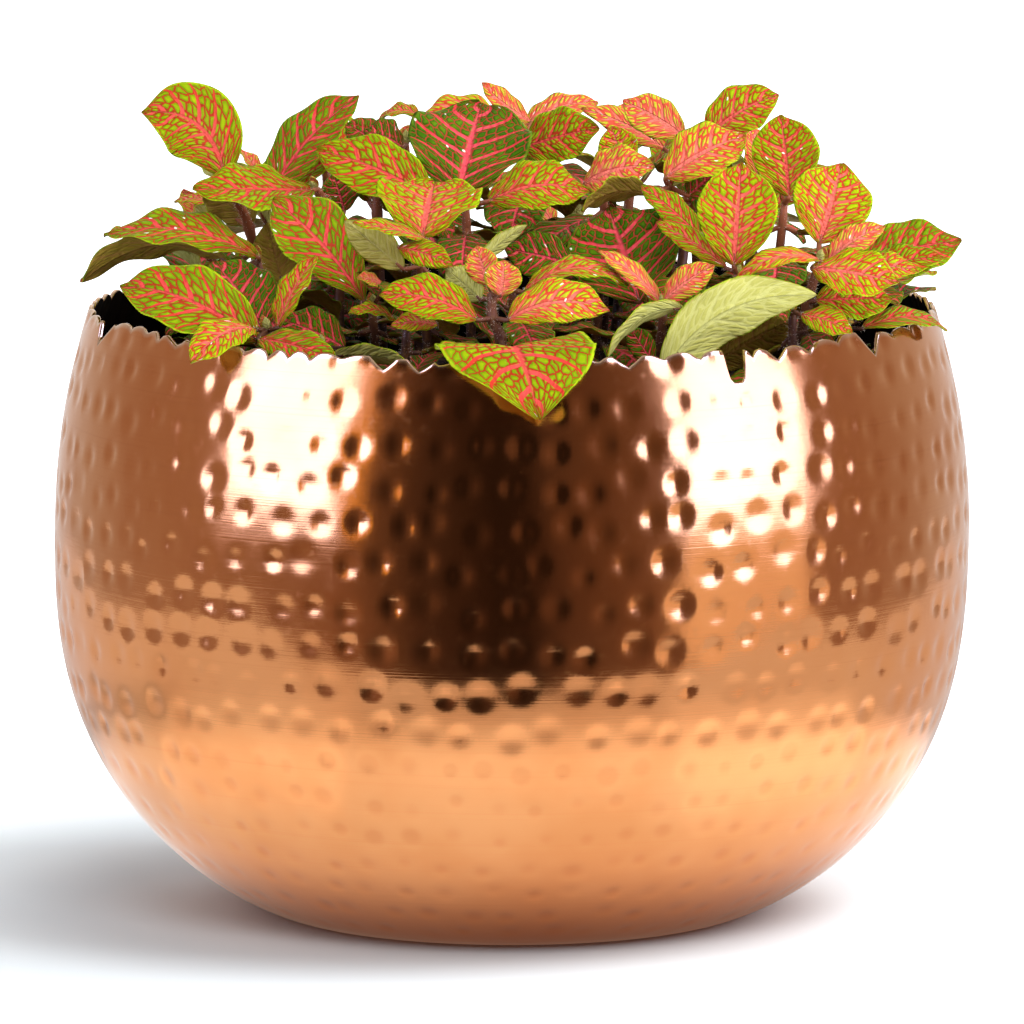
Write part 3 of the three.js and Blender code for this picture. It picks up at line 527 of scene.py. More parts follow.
def copper_bowl(outside, inside):
    """The bowl, as rings from the middle of the base out and up the wall, over the rounded rim, and
    down the plain inside. The wall is sunk square to itself by the hammer marks and the slow dents.
    The point values are the run along the wall in 100 mm, 1 from the cut edge on, and 0 to 1 for how
    deep a hammer mark is."""
    angle = rim_angles()
    a = angle * DEGREE
    columns = len(angle)
    below = RIM_Z - NOTCH_ROOM
    run_top = np.interp(below, FINE_Z, FINE_RUN)
    low = np.interp(np.linspace(0, run_top, BOWL_RINGS), FINE_RUN, FINE_Z)
    share = np.linspace(0, 1, NOTCH_RINGS + 1)[1:]
    edge = rim_top(angle) - RIM_ROUND
    z = np.concatenate([np.repeat(low[:, None], columns, 1), below + share[:, None] * (edge - below)])
    r = bowl_radius(z)
    run = np.interp(z, FINE_Z, FINE_RUN)
    upper, lower = (np.interp(z + step, FINE_Z, bowl_radius(FINE_Z)) for step in (0.5, -0.5))
    lean = upper - lower
    sunk = dimple_depth(run, np.broadcast_to(angle, z.shape), r)
    marks = sunk / DIMPLE_DEPTH
    dent = sum(deep * np.sin(times * a + turn * z + lag) for deep, times, turn, lag in DENTS)
    sunk = sunk + dent * smooth(run / DENT_FULL_RUN)
    long = np.sqrt(1 + lean**2)
    r = r - sunk / long
    z = z + sunk * lean / long

    rows = []

    def ring(radius, height, run, mark=0.0):
        rows.append([np.broadcast_to(v, columns) for v in (radius, height, run, mark)])

    for radius in BASE_RINGS:
        ring(radius, 0.0, radius - BASE_RADIUS)
    for row in zip(r, z, run, marks):
        ring(*row)
    outer_rows = len(rows)
    for inset, drop in ((RIM_ROUND, 0), (RIM_WALL - RIM_ROUND, 0), (RIM_WALL, RIM_ROUND)):
        ring(r[-1] - inset, edge + RIM_ROUND - drop, run[-1] + inset)
    rim_rows = len(rows)
    for height in (below, *LINING_RINGS_Z):
        ring(bowl_radius(height) - WALL, height, height)
    for radius in LINING_FLOOR_RINGS:
        ring(radius, WALL, 0.0)
    rr, zz, runs, marks = np.array(rows, float).transpose(1, 0, 2)
    points, faces = skin(np.stack([rr * np.sin(a), -rr * np.cos(a), zz], -1), [0, 0, 0], [0, 0, WALL])
    values = np.zeros((len(points), 4))
    values[:-2, 0] = runs.ravel() / 100
    values[:-2, 1] = np.repeat(np.arange(len(rows)) >= outer_rows - 1, columns)
    values[:-2, 2] = marks.ravel()
    between = np.repeat(np.arange(len(rows) - 1) >= rim_rows - 1, columns)
    finish = np.concatenate([between, np.zeros(columns), np.ones(columns)]).astype(int)
    piece = Piece("hammered_bowl", [outside, inside])
    piece.add(points, faces, finish, values)
    piece.make("copper", "copper_bowl")


def soil_height(x, y):
    """Height of the soil: a slow product of sines plus a diagonal one."""
    waves = np.sin(0.11 * x + 0.8) * np.cos(0.13 * y) + 0.5 * np.sin(0.21 * (x - y))
    return SOIL_Z + SOIL_ROUGHNESS * waves


def crumbly(x, y):
    """Fine unevenness of the soil: sines of unlike lengths, bent by one another."""
    u = x + 2.2 * np.sin(0.31 * y + 1) + 1.1 * np.sin(0.83 * y)
    v = y + 2.4 * np.sin(0.27 * x + 2) + 1.2 * np.sin(0.91 * x + 1)
    big = np.abs(np.sin(0.42 * u) * np.sin(0.47 * v))
    small = np.sin(1.9 * u + v) * np.sin(2.3 * v - 0.7 * u)
    return 1.5 * big + 0.45 * small


def add_crumbs(piece, edge):
    """Loose crumbs on the soil: two uneven rings of a few corners with a point above and below."""
    n = np.arange(CRUMBS)
    far = edge * 0.97 * np.sqrt(draw(n * 3 + 0.5))
    turn = 2 * np.pi * draw(n * 5 + 1.5)
    size = CRUMB_LEAST + CRUMB_SPREAD * draw(n * 7 + 2.5) ** 2
    x = far * np.sin(turn)
    y = -far * np.cos(turn)
    z = soil_height(x, y) + crumbly(x, y) - CRUMB_LEVEL + 0.2 * size
    for i in range(CRUMBS):
        b = np.arange(CRUMB_SIDES) * 2 * np.pi / CRUMB_SIDES + turn[i]
        uneven = 0.8 + 0.4 * draw(i * 11 + np.arange(2 * CRUMB_SIDES))
        wide = size[i] * uneven.reshape(2, CRUMB_SIDES)
        tall = np.array([[-0.35], [0.35]]) * size[i] + 0 * wide
        ring = np.stack([wide * np.cos(b), wide * np.sin(b), tall], -1)
        centre = np.array([x[i], y[i], z[i]])
        point = np.array([0, 0, 0.7 * size[i]])
        lump = skin(ring + centre, centre - point, centre + point)
        piece.add(*lump, finish=int(draw(i * 17 + 3) > 1 - GRIT_SHARE))


def potting_soil(finish, grit):
    """Soil: plain below, with a crumbly top that is highest away from the wall, and loose crumbs."""
    inset = WALL + SOIL_GAP + WALL_SAG
    base_z = WALL + SOIL_GAP
    a = np.arange(SOIL_COLUMNS) * 2 * np.pi / SOIL_COLUMNS
    edge = bowl_radius(SOIL_Z) - inset
    side_r = [BASE_RADIUS - WALL - SOIL_GAP] + [bowl_radius(h) - inset for h in SOIL_SIDE_Z]
    side_z = [base_z, *SOIL_SIDE_Z]
    top_r = edge * np.linspace(1, 0, SOIL_RINGS, endpoint=False) ** 0.7
    rr = np.concatenate([side_r, top_r])[:, None] + np.zeros(SOIL_COLUMNS)
    top_r = rr[len(side_r):]
    x = top_r * np.sin(a)
    y = -top_r * np.cos(a)
    top_z = soil_height(x, y) + (crumbly(x, y) - CRUMB_LEVEL) * smooth((edge - top_r) / SOIL_EDGE)
    zz = np.concatenate([np.array(side_z, float)[:, None] + np.zeros(SOIL_COLUMNS), top_z])
    rings = np.stack([rr * np.sin(a), -rr * np.cos(a), zz], -1)
    piece = Piece("potting_soil", [finish, grit])
    piece.add(*skin(rings, [0, 0, base_z], [0, 0, soil_height(0, 0)]))
    add_crumbs(piece, edge)
    piece.make("earth", "soil")


def facing(turn, tilt):
    """Unit vector turned from the front towards +X and tilted up, in degrees."""
    a = turn * DEGREE
    e = tilt * DEGREE
    return np.array([math.sin(a) * math.cos(e), -math.cos(a) * math.cos(e), math.sin(e)])


def leaf_axes(leaf):
    """Base of the chord, its direction and length, the way up from the upper face, and the side."""
    base = np.array(leaf[0], float)
    tip = np.array(leaf[1], float)
    length = np.linalg.norm(tip - base)
    along = (tip - base) / length
    up = facing(leaf[3], leaf[4])
    up = unit(up - along * up.dot(along))
    return base, along, length, up, np.cross(along, up)


def leaf_surface(leaf, s, t):
    """Points of the middle surface and the directions up from it, for arrays s from base to tip and t
    across. The midrib is a parabola over the chord, half the width is sin(pi s^belly)^fullness with a
    finer tip, the section is an arc on a shallow fold, and the edge waves as the cube of t times a
    sine along the leaf."""
    base, along, length, up, side = leaf_axes(leaf)
    _, _, width, turn, _, arch, bow, cup, belly = leaf[:9]
    skew = leaf[10] if len(leaf) > 10 else 0.0
    s, t = np.broadcast_arrays(s, t)
    bend = up * arch + side * bow
    hump = 4 * s * (1 - s)
    mid = base + along * length * s[..., None] + bend * length * hump[..., None]
    tangent = unit(along + bend * (4 * (1 - 2 * s))[..., None])
    across = unit(np.cross(tangent, up))
    normal = np.cross(across, tangent)
    half = width / 2 * np.abs(np.sin(np.pi * s**belly)) ** (BLADE_FULLNESS + TIP_FINENESS * s**3)
    angle = cup * DEGREE + 1e-6
    out = half * np.sin(angle * t) / angle
    phase = 2 * np.pi * WAVES * s + width + turn + SIDE_SHIFT * np.sign(t)
    wave = WAVE * width * np.abs(t) ** 3 * np.sin(phase)
    lift = half * (1 - np.cos(angle * t)) / angle + FOLD * half * np.abs(t) + wave
    mid = mid + along * (skew * out)[..., None]
    return mid + across * out[..., None] + normal * lift[..., None], normal


def vein_place(s, t, width):
    """Which side vein a place of the blade is nearest, as a number that is whole on each vein. Side
    veins leave the midrib and sweep towards the tip as a power of the distance from it."""
    pairs = min(VEIN_PAIRS_LEAST + VEIN_PAIRS_PER_WIDTH * round(width), VEIN_PAIRS_MOST)
    sweep = VEIN_SWEEP * (np.abs(t) ** VEIN_CURVE) * (1 - VEIN_SWEEP_LOSS * s)
    return pairs * (s - sweep) + VEIN_STAGGER * np.sign(t)


def held(width, limits):
    """A whole number that grows with a width and stays between a least and a most."""
    per, least, most = limits
    return int(np.clip(width * per, least, most))


def blade(leaf, seed):
    """One leaf blade: rings round its flat section from base to tip. The upper face is quilted, sunk
    along the midrib and the side veins, the under face carries the midrib as a ridge, and both
    thin out to the margin. The point values are the place across and along, the seed plus the age, and
    twice the width plus 1 on the under face."""
    width, age = leaf[2], leaf[9]
    rows = held(width, BLADE_ROWS)
    columns = 2 * held(width, BLADE_COLUMNS) + 1
    q = np.linspace(0, 1, rows + 2)[1:-1]
    s = (0.35 * q + 0.65 * (0.5 - 0.5 * np.cos(np.pi * q)))[:, None]
    even = np.linspace(-1, 1, columns)
    t = np.sin(even * np.pi / 2) * 0.35 + even * 0.65
    middle, normal = leaf_surface(leaf, s, t[None, :])
    place = vein_place(s, t[None, :], width)
    from_vein = np.abs(place - np.round(place)) * 2
    size = min(width / 20, 1.3)
    quilt = QUILT * size * smooth(from_vein / 0.7) * smooth(np.abs(t) / 0.22) * (1 - t**4)
    rib = np.exp(-((t * width / 1.5) ** 2)) * (1 - 0.75 * s) * size
    thin = np.sqrt(np.clip(1 - t**6, 0.04, 1)) * BLADE_HALF_THICKNESS
    upper = middle + normal * (thin + quilt - RIB_SUNK * rib)[..., None]
    under = middle - normal * (thin - 0.6 * quilt + RIB_RIDGE * rib)[..., None]
    rings = np.concatenate([upper, under[:, -2:0:-1]], 1)
    ends, _ = leaf_surface(leaf, np.array([1e-4, 1 - 1e-4]), np.zeros(2))
    points, faces = skin(rings, ends[0], ends[1])
    across = np.concatenate([t, t[-2:0:-1]])
    below = np.arange(across.size) >= columns
    values = np.zeros((len(points), 4))
    values[:-2, 0] = np.tile(across * 0.5 + 0.5, rows)
    values[:-2, 1] = np.repeat(s[:, 0], across.size)
    values[-2:, :2] = [[0.5, 0], [0.5, 1]]
    values[:, 2] = min(age, 0.98) + seed
    values[:, 3] = round(width) * 2
    values[:-2, 3] += np.tile(below, rows)
    return points, faces, values


def smooth_path(points, steps):
    """Centripetal Catmull-Rom curve through points, as points spread evenly from joint to joint."""
    p = np.array(points, float)
    p = np.concatenate([[2 * p[0] - p[1]], p, [2 * p[-1] - p[-2]]])
    pieces = []
    for k in range(len(p) - 3):
        a, b, c, d = p[k:k + 4]
        gaps = [max(np.linalg.norm(v) ** 0.5, 1e-3) for v in (b - a, c - b, d - c)]
        inward = ((b - a) / gaps[0] - (c - a) / (gaps[0] + gaps[1]) + (c - b) / gaps[1]) * gaps[1]
        onward = ((c - b) / gaps[1] - (d - b) / (gaps[1] + gaps[2]) + (d - c) / gaps[2]) * gaps[1]
        u = np.linspace(0, 1, steps + 1)[:, None]
        u = u if k == len(p) - 4 else u[:-1]
        curve = b * (2 * u**3 - 3 * u**2 + 1) + inward * (u**3 - 2 * u**2 + u)
        pieces.append(curve + c * (3 * u**2 - 2 * u**3) + onward * (u**3 - u**2))
    return np.concatenate(pieces)


def frames_along(path):
    """Tangents of a path and two directions square to them, from one that is never along the path."""
    tangent = unit(np.gradient(path, axis=0))
    start = np.array([1.0, 0.0, 0.0]) if abs(tangent[:, 0]).max() < 0.9 else np.array([0.0, 1.0, 0.0])
    first = unit(start - tangent * (tangent @ start)[:, None])
    return tangent, first, np.cross(tangent, first)


def rod(path, radius, sides):
    """Round rod: a circle of the given radius at each point of the path."""
    _, first, second = frames_along(path)
    a = np.arange(sides) * 2 * np.pi / sides
    radius = np.broadcast_to(radius, len(path))[:, None, None]
    out = first[:, None] * np.cos(a)[:, None] + second[:, None] * np.sin(a)[:, None]
    return skin(path[:, None] + radius * out, path[0], path[-1])


def hairs(path, radius, count, length, seed):
    """Fine hairs: three-sided spikes that stand out from a rod and lean a little towards its end."""
    tangent, first, second = frames_along(path)
    n = np.arange(count)
    place = draw(n * 3 + seed) ** 0.8 * (len(path) - 1.001)
    i = place.astype(int)
    f = (place - i)[:, None]
    turn = (2 * np.pi * draw(n * 5 + seed + 1))[:, None]
    out = first[i] * np.cos(turn) + second[i] * np.sin(turn)
    wide = np.interp(place, np.arange(len(path)), np.broadcast_to(radius, len(path)))[:, None]
    root = path[i] * (1 - f) + path[i + 1] * f + out * wide * 0.85
    lean = unit(out + tangent[i] * (0.9 * draw(n * 7 + seed)[:, None] - 0.2))
    tip = root + lean * (length * drawn(HAIR_LENGTHS, n * 11 + seed))[:, None]
    b1 = unit(np.cross(lean, tangent[i]))
    b2 = np.cross(lean, b1)
    thirds = [k * 2.0944 for k in range(3)]
    corners = [root + HAIR_RADIUS * (b1 * math.cos(turn) + b2 * math.sin(turn)) for turn in thirds]
    points = np.stack([*corners, tip], 1).reshape(-1, 3)
    k = n[:, None] * 4
    faces = np.concatenate([k + [0, 1, 3], k + [1, 2, 3], k + [2, 0, 3], k + [0, 2, 1]])
    return points, faces.tolist()


def free_leaf(joint, heading, pitch, length, ratio, age):
    """A leaf that leaves a joint at a heading and a pitch, in degrees, with its width to its length."""
    out = facing(heading, pitch)
    base = np.array(joint) + out * STALK_LENGTH
    tip = base + out * length
    shape = [FREE_ARCH, 0, FREE_CUP, FREE_BELLY]
    return [base.tolist(), tip.tolist(), length * ratio, heading, pitch + 90, *shape, age]


def leaf_cloud(leaf):
    """A few points all over a leaf, for telling how near it comes to another."""
    s = np.clip(np.arange(10) / 9, 0.01, 0.99)[:, None]
    return leaf_surface(leaf, s, (np.arange(-3, 4) / 3)[None, :])[0].reshape(-1, 3)


def stem_cloud(foot, joints):
    """Points down a stem, a step apart or less."""
    path = np.array([[foot[0], foot[1], SOIL_Z], *joints], float)
    spans = []
    for a, b in zip(path[:-1], path[1:]):
        count = math.ceil(np.linalg.norm(b - a) / CLOUD_STEP)
        spans.append(a + (b - a) * (np.arange(1, count + 1) / count)[:, None])
    return np.concatenate(spans)


def is_clear(cloud, others, clearance):
    """Whether a leaf's points stay clear of the soil, the rim and an array of other points."""
    if (cloud[:, 2] < LEAF_LEAST_Z).any():
        return False
    if ((np.hypot(cloud[:, 0], cloud[:, 1]) > RIM_KEEP_OUT) & (cloud[:, 2] < RIM_CLEAR_Z)).any():
        return False
    low = cloud.min(0) - clearance
    high = cloud.max(0) + clearance
    near = others[((others > low) & (others < high)).all(1)]
    return len(near) == 0 or np.linalg.norm(cloud[:, None] - near[None], axis=-1).min() >= clearance


def back_shoots():
    """Back shoots: pairs of leaves crosswise down each stem. A leaf that comes too near another is
    tried at other pitches and then shorter, and is left out if nothing clears."""
    placed = []
    for foot, joints, leaves in SHOOTS:
        placed.append(stem_cloud(foot, joints))
        placed += [leaf_cloud(leaf) for leaf in leaves]
    stems = [stem_cloud(foot, [top]) for foot, top, _ in BACK_SHOOTS]
    grown = []
    for k, (foot, top, heading) in enumerate(BACK_SHOOTS):
        joints = []
        leaves = []
        others = np.concatenate(placed + [stem for i, stem in enumerate(stems) if i != k])
        for tier, (drop, length, ratio, pitch, age) in enumerate(PAIRS):
            share = drop / (top[2] - SOIL_Z)
            joint = [top[i] + (foot[i] - top[i]) * share for i in range(2)] + [top[2] - drop]
            joints.insert(0, joint)
            for half in (0, 180):
                index = BACK_DRAWS + k * 10 + tier * 2 + half / 180
                turn = heading + 90 * tier + half + TURN_SPREAD * (float(draw(index)) - 0.5)
                long = length * float(drawn(FREE_LENGTHS, index + BACK_LENGTH_DRAWS))
                for size, more in [(a, b) for a in FREE_SIZES for b in PITCH_TRIES]:
                    leaf = free_leaf(joint, turn, pitch + more, long * size, ratio, age)
                    if is_clear(leaf_cloud(leaf), others, CLEARANCE):
                        leaves.append(leaf)
                        break
        placed += [leaf_cloud(leaf) for leaf in leaves]
        grown.append((foot, joints, leaves))
    return grown


def low_leaves(shoots):
    """Old leaves in the shade low on each shoot, where they clear everything else. Gives for each
    shoot its leaves and the places on its stem where they start."""
    taken = [stem_cloud(foot, joints) for foot, joints, _ in shoots]
    taken = np.concatenate(taken + [leaf_cloud(leaf) for _, _, leaves in shoots for leaf in leaves])
    grown = []
    for k, (foot, joints, _) in enumerate(shoots):
        leaves = []
        spots = []
        for tier, (drop, length, ratio, pitch) in enumerate(LOW_LEAVES):
            share = drop / max(joints[0][2] - SOIL_Z, 1.0)
            if share > LOW_LOWEST_SHARE:
                continue
            spot = np.array(joints[0]) * (1 - share) + np.array([foot[0], foot[1], SOIL_Z]) * share
            for half in (0, 180):
                index = LOW_DRAWS + k * 12 + tier * 2 + half / 180
                turn = 360 * float(draw(k + 50)) + 90 * tier + half
                turn += LOW_TURN_SPREAD * (float(draw(index)) - 0.5)
                age = float(drawn(LOW_AGES, index + 5))
                for size, more in [(a, b) for a in LOW_SIZES for b in PITCH_TRIES]:
                    reach = length * size * float(drawn(LOW_LENGTHS, index + 9))
                    leaf = free_leaf(spot, turn, pitch + more, reach, ratio, age)
                    cloud = leaf_cloud(leaf)
                    off_stem = np.linalg.norm(taken - spot, axis=1) > LOW_OFF_STEM
                    if is_clear(cloud, taken[off_stem], LOW_CLEARANCE):
                        leaves.append(leaf)
                        spots.append(spot.tolist())
                        taken = np.concatenate([taken, cloud])
                        break
        grown.append((leaves, spots))
    return grown


def tip_bud(joint, direction, seed):
    """Bud at a shoot's tip: two tiny folded leaves face to face."""
    heading = 360 * float(draw(seed))
    leaves = []
    for turn in (heading, heading + 180):
        out = facing(turn, 0)
        tip = np.array(joint) + unit(direction + 0.25 * out) * BUD_LENGTH
        base = np.array(joint) + out * 0.5
        leaves.append([base.tolist(), tip.tolist(), BUD_WIDTH, turn + 180, *BUD_SHAPE])
    return leaves


def leafy_shoot(number, foot, joints, leaves, spots, finishes):
    """One shoot: its stem through the joints, thicker where leaves leave it, the stalks, the blades,
    the bud at the tip, and the hairs on stem and stalks."""
    ground = float(soil_height(foot[0], foot[1]))
    path = smooth_path([[*foot, ground - FOOT_DEPTH], [*foot, ground + 1], *joints], 12)
    rise = np.linspace(0, 1, len(path))
    from_joints = [np.linalg.norm(path - np.array(joint), axis=1) for joint in joints]
    knots = sum(np.exp(-((far / KNOT_REACH) ** 2)) for far in from_joints)
    radius = STEM_RADIUS * (1.05 - 0.3 * rise + 0.22 * knots)
    radius[-1] *= 0.6
    piece = Piece(f"leafy_shoot_{number:02d}", finishes)
    piece.add(*rod(path, radius, STEM_SIDES))
    above = path[:, 2] > ground - 0.5
    piece.add(*hairs(path[above], radius[above], STEM_HAIRS, STEM_HAIR_LENGTH, number), finish=2)
    spots = np.array([*joints, *spots], float)
    for order, leaf in enumerate(leaves):
        root = np.array(leaf[0], float)
        joint = spots[np.argmin(np.linalg.norm(spots - root, axis=1))]
        up = leaf_axes(leaf)[3]
        inner, _ = leaf_surface(leaf, np.array([0.02, 0.12]), np.zeros(2))
        stalk = smooth_path([joint, root, inner[0] - up * 0.2, inner[1] - up * 0.25], 5)
        thick = np.linspace(*STALK_RADII, len(stalk)) * min(1.0, 0.55 + leaf[2] / 40)
        piece.add(*rod(stalk, thick, STALK_SIDES))
        piece.add(*hairs(stalk, thick, STALK_HAIRS, STALK_HAIR_LENGTH, number + order * 5), finish=2)
        points, faces, values = blade(leaf, (number * 7 + order * 3) % 40 + 1)
        piece.add(points, faces, 1, values)
    for order, leaf in enumerate(tip_bud(joints[-1], unit(path[-1] - path[-3]), number)):
        points, faces, values = blade(leaf, order + number % 30 + 1)
        piece.add(points, faces, 1, values)
    piece.make("foliage", f"leafy_stem_{number:02d}")


class Recipe:
    """The nodes of a material or of the world, as calls that each give back the socket they end in."""

    def __init__(self, owner):
        self.owner = owner
        owner.use_nodes = True
        self.tree = owner.node_tree

    def put(self, socket, value):
        if isinstance(value, bpy.types.NodeSocket):
            self.tree.links.new(value, socket)
        else:
            socket.default_value = value

    def node(self, kind, inputs, out=0, **settings):
        """A shader node with its inputs by name or number, and its output by number."""
        node = self.tree.nodes.new("ShaderNode" + kind)
        for key, value in settings.items():
            setattr(node, key, value)
        for key, value in inputs.items():
            self.put(node.inputs[key], value)
        return node.outputs[out]

    def math(self, operation, *terms):
        return self.node("Math", dict(enumerate(terms)), operation=operation)

    def plus(self, a, b):
        return self.math("ADD", a, b)

    def minus(self, a, b):
        return self.math("SUBTRACT", a, b)

    def times(self, first, *others):
        for other in others:
            first = self.math("MULTIPLY", first, other)
        return first

    def line(self, value, start, slope):
        """start plus slope times value."""
        return self.plus(start, self.times(value, slope))

    def span(self, value, low, high, to_low=0.0, to_high=1.0):
        """value mapped from low..high to to_low..to_high along a smooth step."""
        return self.node("MapRange", {0: value, 1: low, 2: high, 3: to_low, 4: to_high},
                         interpolation_type="SMOOTHSTEP")

    def mix(self, share, a, b):
        return self.node("Mix", {0: share, 6: a, 7: b}, out=2, data_type="RGBA")

    def coordinates(self):
        """Object coordinates, in metres."""
        return self.node("TexCoord", {}, out=3)

    def own_map(self, name):
        return self.node("UVMap", {}, uv_map=name)

    def vector(self, x, y, z):
        return self.node("CombineXYZ", {0: x, 1: y, 2: z})

    def parts(self, vector):
        """The three numbers of a vector."""
        return self.node("SeparateXYZ", {0: vector}).node.outputs[:3]

    def noise(self, vector, scale, detail=2.0, rough=0.5):
        inputs = {"Vector": vector, "Scale": scale, "Detail": detail, "Roughness": rough}
        return self.node("TexNoise", inputs)

    def cells(self, vector, scale, unevenness, feature="F1"):
        """Distances in a flat pattern of cells, to their middles or to their edges."""
        return self.node("TexVoronoi", {"Vector": vector, "Scale": scale, "Randomness": unevenness},
                         voronoi_dimensions="2D", feature=feature)

    def bump(self, height, depth, strength, under=None):
        inputs = {"Height": height, "Distance": depth, "Strength": strength}
        if under is not None:
            inputs["Normal"] = under
        return self.node("Bump", inputs)

    def finish(self, shader="Principled BSDF", **sockets):
        for key, value in sockets.items():
            self.put(self.tree.nodes[shader].inputs[key.replace("_", " ")], value)
        return self.owner


def material(name):
    """The recipe of a new material."""
    return Recipe(bpy.data.materials.new(name))


def rgb(red, green, blue):
    """A colour given as screen values from 0 to 255, made linear."""
    values = [c / 255 for c in (red, green, blue)]
    return (*[c / 12.92 if c <= 0.04045 else ((c + 0.055) / 1.055) ** 2.4 for c in values], 1.0)


def spun_copper():
    """Copper-coloured metal: fine turning lines round the wall, a slow stain, dull spots, hammer marks
    that are redder on the lower half of the wall, a redder foot, and a brighter cut edge."""
    r = material("spun hammered copper")
    at = r.coordinates()
    x, y, z = r.parts(at)
    run, rim, _ = r.parts(r.own_map("place"))
    mark = r.parts(r.own_map("growth"))[0]
    lines = r.noise(r.vector(r.times(x, 4.0), r.times(y, 4.0), r.times(run, 260.0)), 1.0, 3.0, 0.7)
    stain = r.noise(at, 26.0, 3.0, 0.55)
    spots = r.noise(at, 320.0, 2.0, 0.6)
    low = r.span(run, 1.1, 0.5)
    marks = r.times(r.span(mark, 0.08, 0.5, 0.0, 0.32), low)
    foot = r.times(r.span(z, 0.034, 0.0, 0.0, 0.5), low)
    colour = r.mix(r.span(stain, 0.35, 0.7), rgb(242, 166, 108), rgb(234, 154, 96))
    colour = r.mix(r.span(lines, 0.55, 0.75, 0.0, 0.35), colour, rgb(218, 136, 84))
    colour = r.mix(marks, colour, rgb(204, 118, 70))
    colour = r.mix(foot, colour, rgb(206, 118, 72))
    colour = r.mix(rim, colour, rgb(246, 206, 172))
    rough = r.plus(r.span(stain, 0.3, 0.75, 0.1, 0.17), r.span(spots, 0.55, 0.8, 0.0, 0.08))
    grain = r.bump(lines, 0.000025, 0.6)
    grain = r.bump(spots, 0.00004, 0.35, grain)
    return r.finish(Base_Color=colour, Metallic=1.0, Roughness=rough, Normal=grain)


def dark_lining():
    """Inside of the bowl: near black, dull, with faint upright streaks."""
    r = material("dark bowl lining")
    upright = r.node("Mapping", {"Vector": r.coordinates(), "Scale": (120.0, 120.0, 12.0)})
    streak = r.noise(upright, 1.0, 3.0, 0.6)
    colour = r.mix(r.span(streak, 0.4, 0.7), rgb(9, 7, 6), rgb(24, 16, 12))
    rough = r.span(streak, 0.3, 0.7, 0.8, 0.95)
    grain = r.bump(streak, 0.0002, 0.4)
    return r.finish(Base_Color=colour, Roughness=rough, Specular_IOR_Level=0.04, Normal=grain)


def dark_soil():
    """Moist dark soil: clods of two browns with fine grit."""
    r = material("moist potting soil")
    at = r.coordinates()
    clods = r.noise(at, 240.0, 5.0, 0.65)
    grit = r.noise(at, 1400.0, 3.0, 0.6)
    colour = r.mix(r.span(clods, 0.35, 0.65), rgb(30, 21, 15), rgb(74, 54, 39))
    colour = r.mix(r.span(grit, 0.6, 0.75, 0.0, 0.6), colour, rgb(112, 88, 66))
    grain = r.bump(grit, 0.0004, 0.8, r.bump(clods, 0.0012, 0.9))
    return r.finish(Base_Color=colour, Roughness=0.92, Normal=grain)


def pale_grit():
    """Pale crumbs of grit in the soil."""
    r = material("pale grit")
    spots = r.noise(r.coordinates(), 900.0, 3.0, 0.6)
    colour = r.mix(r.span(spots, 0.4, 0.65), rgb(196, 188, 172), rgb(150, 138, 118))
    return r.finish(Base_Color=colour, Roughness=0.9, Normal=r.bump(spots, 0.0004, 0.7))


def hairy_stem():
    """Stem and stalks: red-brown, darker towards the soil as painted shade, with a finely mottled skin.
    """
    r = material("red-brown stem")
    at = r.coordinates()
    spots = r.noise(at, 700.0, 3.0, 0.6)
    # painted shade: from dark brown low down, near the soil, to red-brown higher up
    colour = r.mix(r.span(r.parts(at)[2], 0.15, 0.195), rgb(46, 24, 15), rgb(150, 82, 52))
    colour = r.mix(r.span(spots, 0.45, 0.7, 0.0, 0.6), colour, rgb(112, 74, 40))
    return r.finish(Base_Color=colour, Roughness=0.55, Normal=r.bump(spots, 0.0002, 0.6))


def stem_hair():
    """Hairs: almost white."""
    r = material("white stem hair")
    tone = r.noise(r.coordinates(), 300.0)
    colour = r.mix(r.span(tone, 0.3, 0.7), rgb(226, 204, 188), rgb(246, 236, 226))
    return r.finish(Base_Color=colour, Roughness=0.5)


def leaf_veins(r, s, t, off, seed, width):
    """Distances across the blade from its side veins, from the net of cells between them and from the
    finer net inside those, and the pattern that a few white specks are picked from. The side veins
    follow the blade's own map, and the nets are counted from them and warped."""
    wander = r.noise(r.vector(t, r.times(s, 2.4), seed), 3.2, 1.0)
    bent = r.times(r.minus(wander, 0.5), 0.035)
    sweep = r.times(r.math("POWER", off, VEIN_CURVE), VEIN_SWEEP, r.line(s, 1.0, -VEIN_SWEEP_LOSS))
    pairs = r.math("MINIMUM", r.line(width, VEIN_PAIRS_LEAST, VEIN_PAIRS_PER_WIDTH), VEIN_PAIRS_MOST)
    rank = r.times(r.plus(r.minus(s, sweep), bent), pairs)
    rank = r.plus(rank, r.times(r.math("SIGN", t), VEIN_STAGGER))
    side = r.times(r.math("ABSOLUTE", r.minus(rank, r.math("ROUND", rank))), 2.0)
    across = r.plus(r.times(t, width, CELLS_PER_WIDTH), r.times(seed, 7.0))
    cell = r.vector(across, r.times(rank, 2.8), 0.0)
    shaken = r.noise(cell, 1.3, 1.0).node.outputs["Color"]
    warp = r.node("VectorMath", {0: shaken, "Scale": 0.5}, operation="SCALE")
    at = r.node("VectorMath", {0: cell, 1: warp}, operation="ADD")
    net = r.cells(at, 1.0, 0.72, "DISTANCE_TO_EDGE")
    fine = r.cells(at, 3.6, 0.9, "DISTANCE_TO_EDGE")
    return side, net, fine, r.cells(at, 0.55, 1.0)


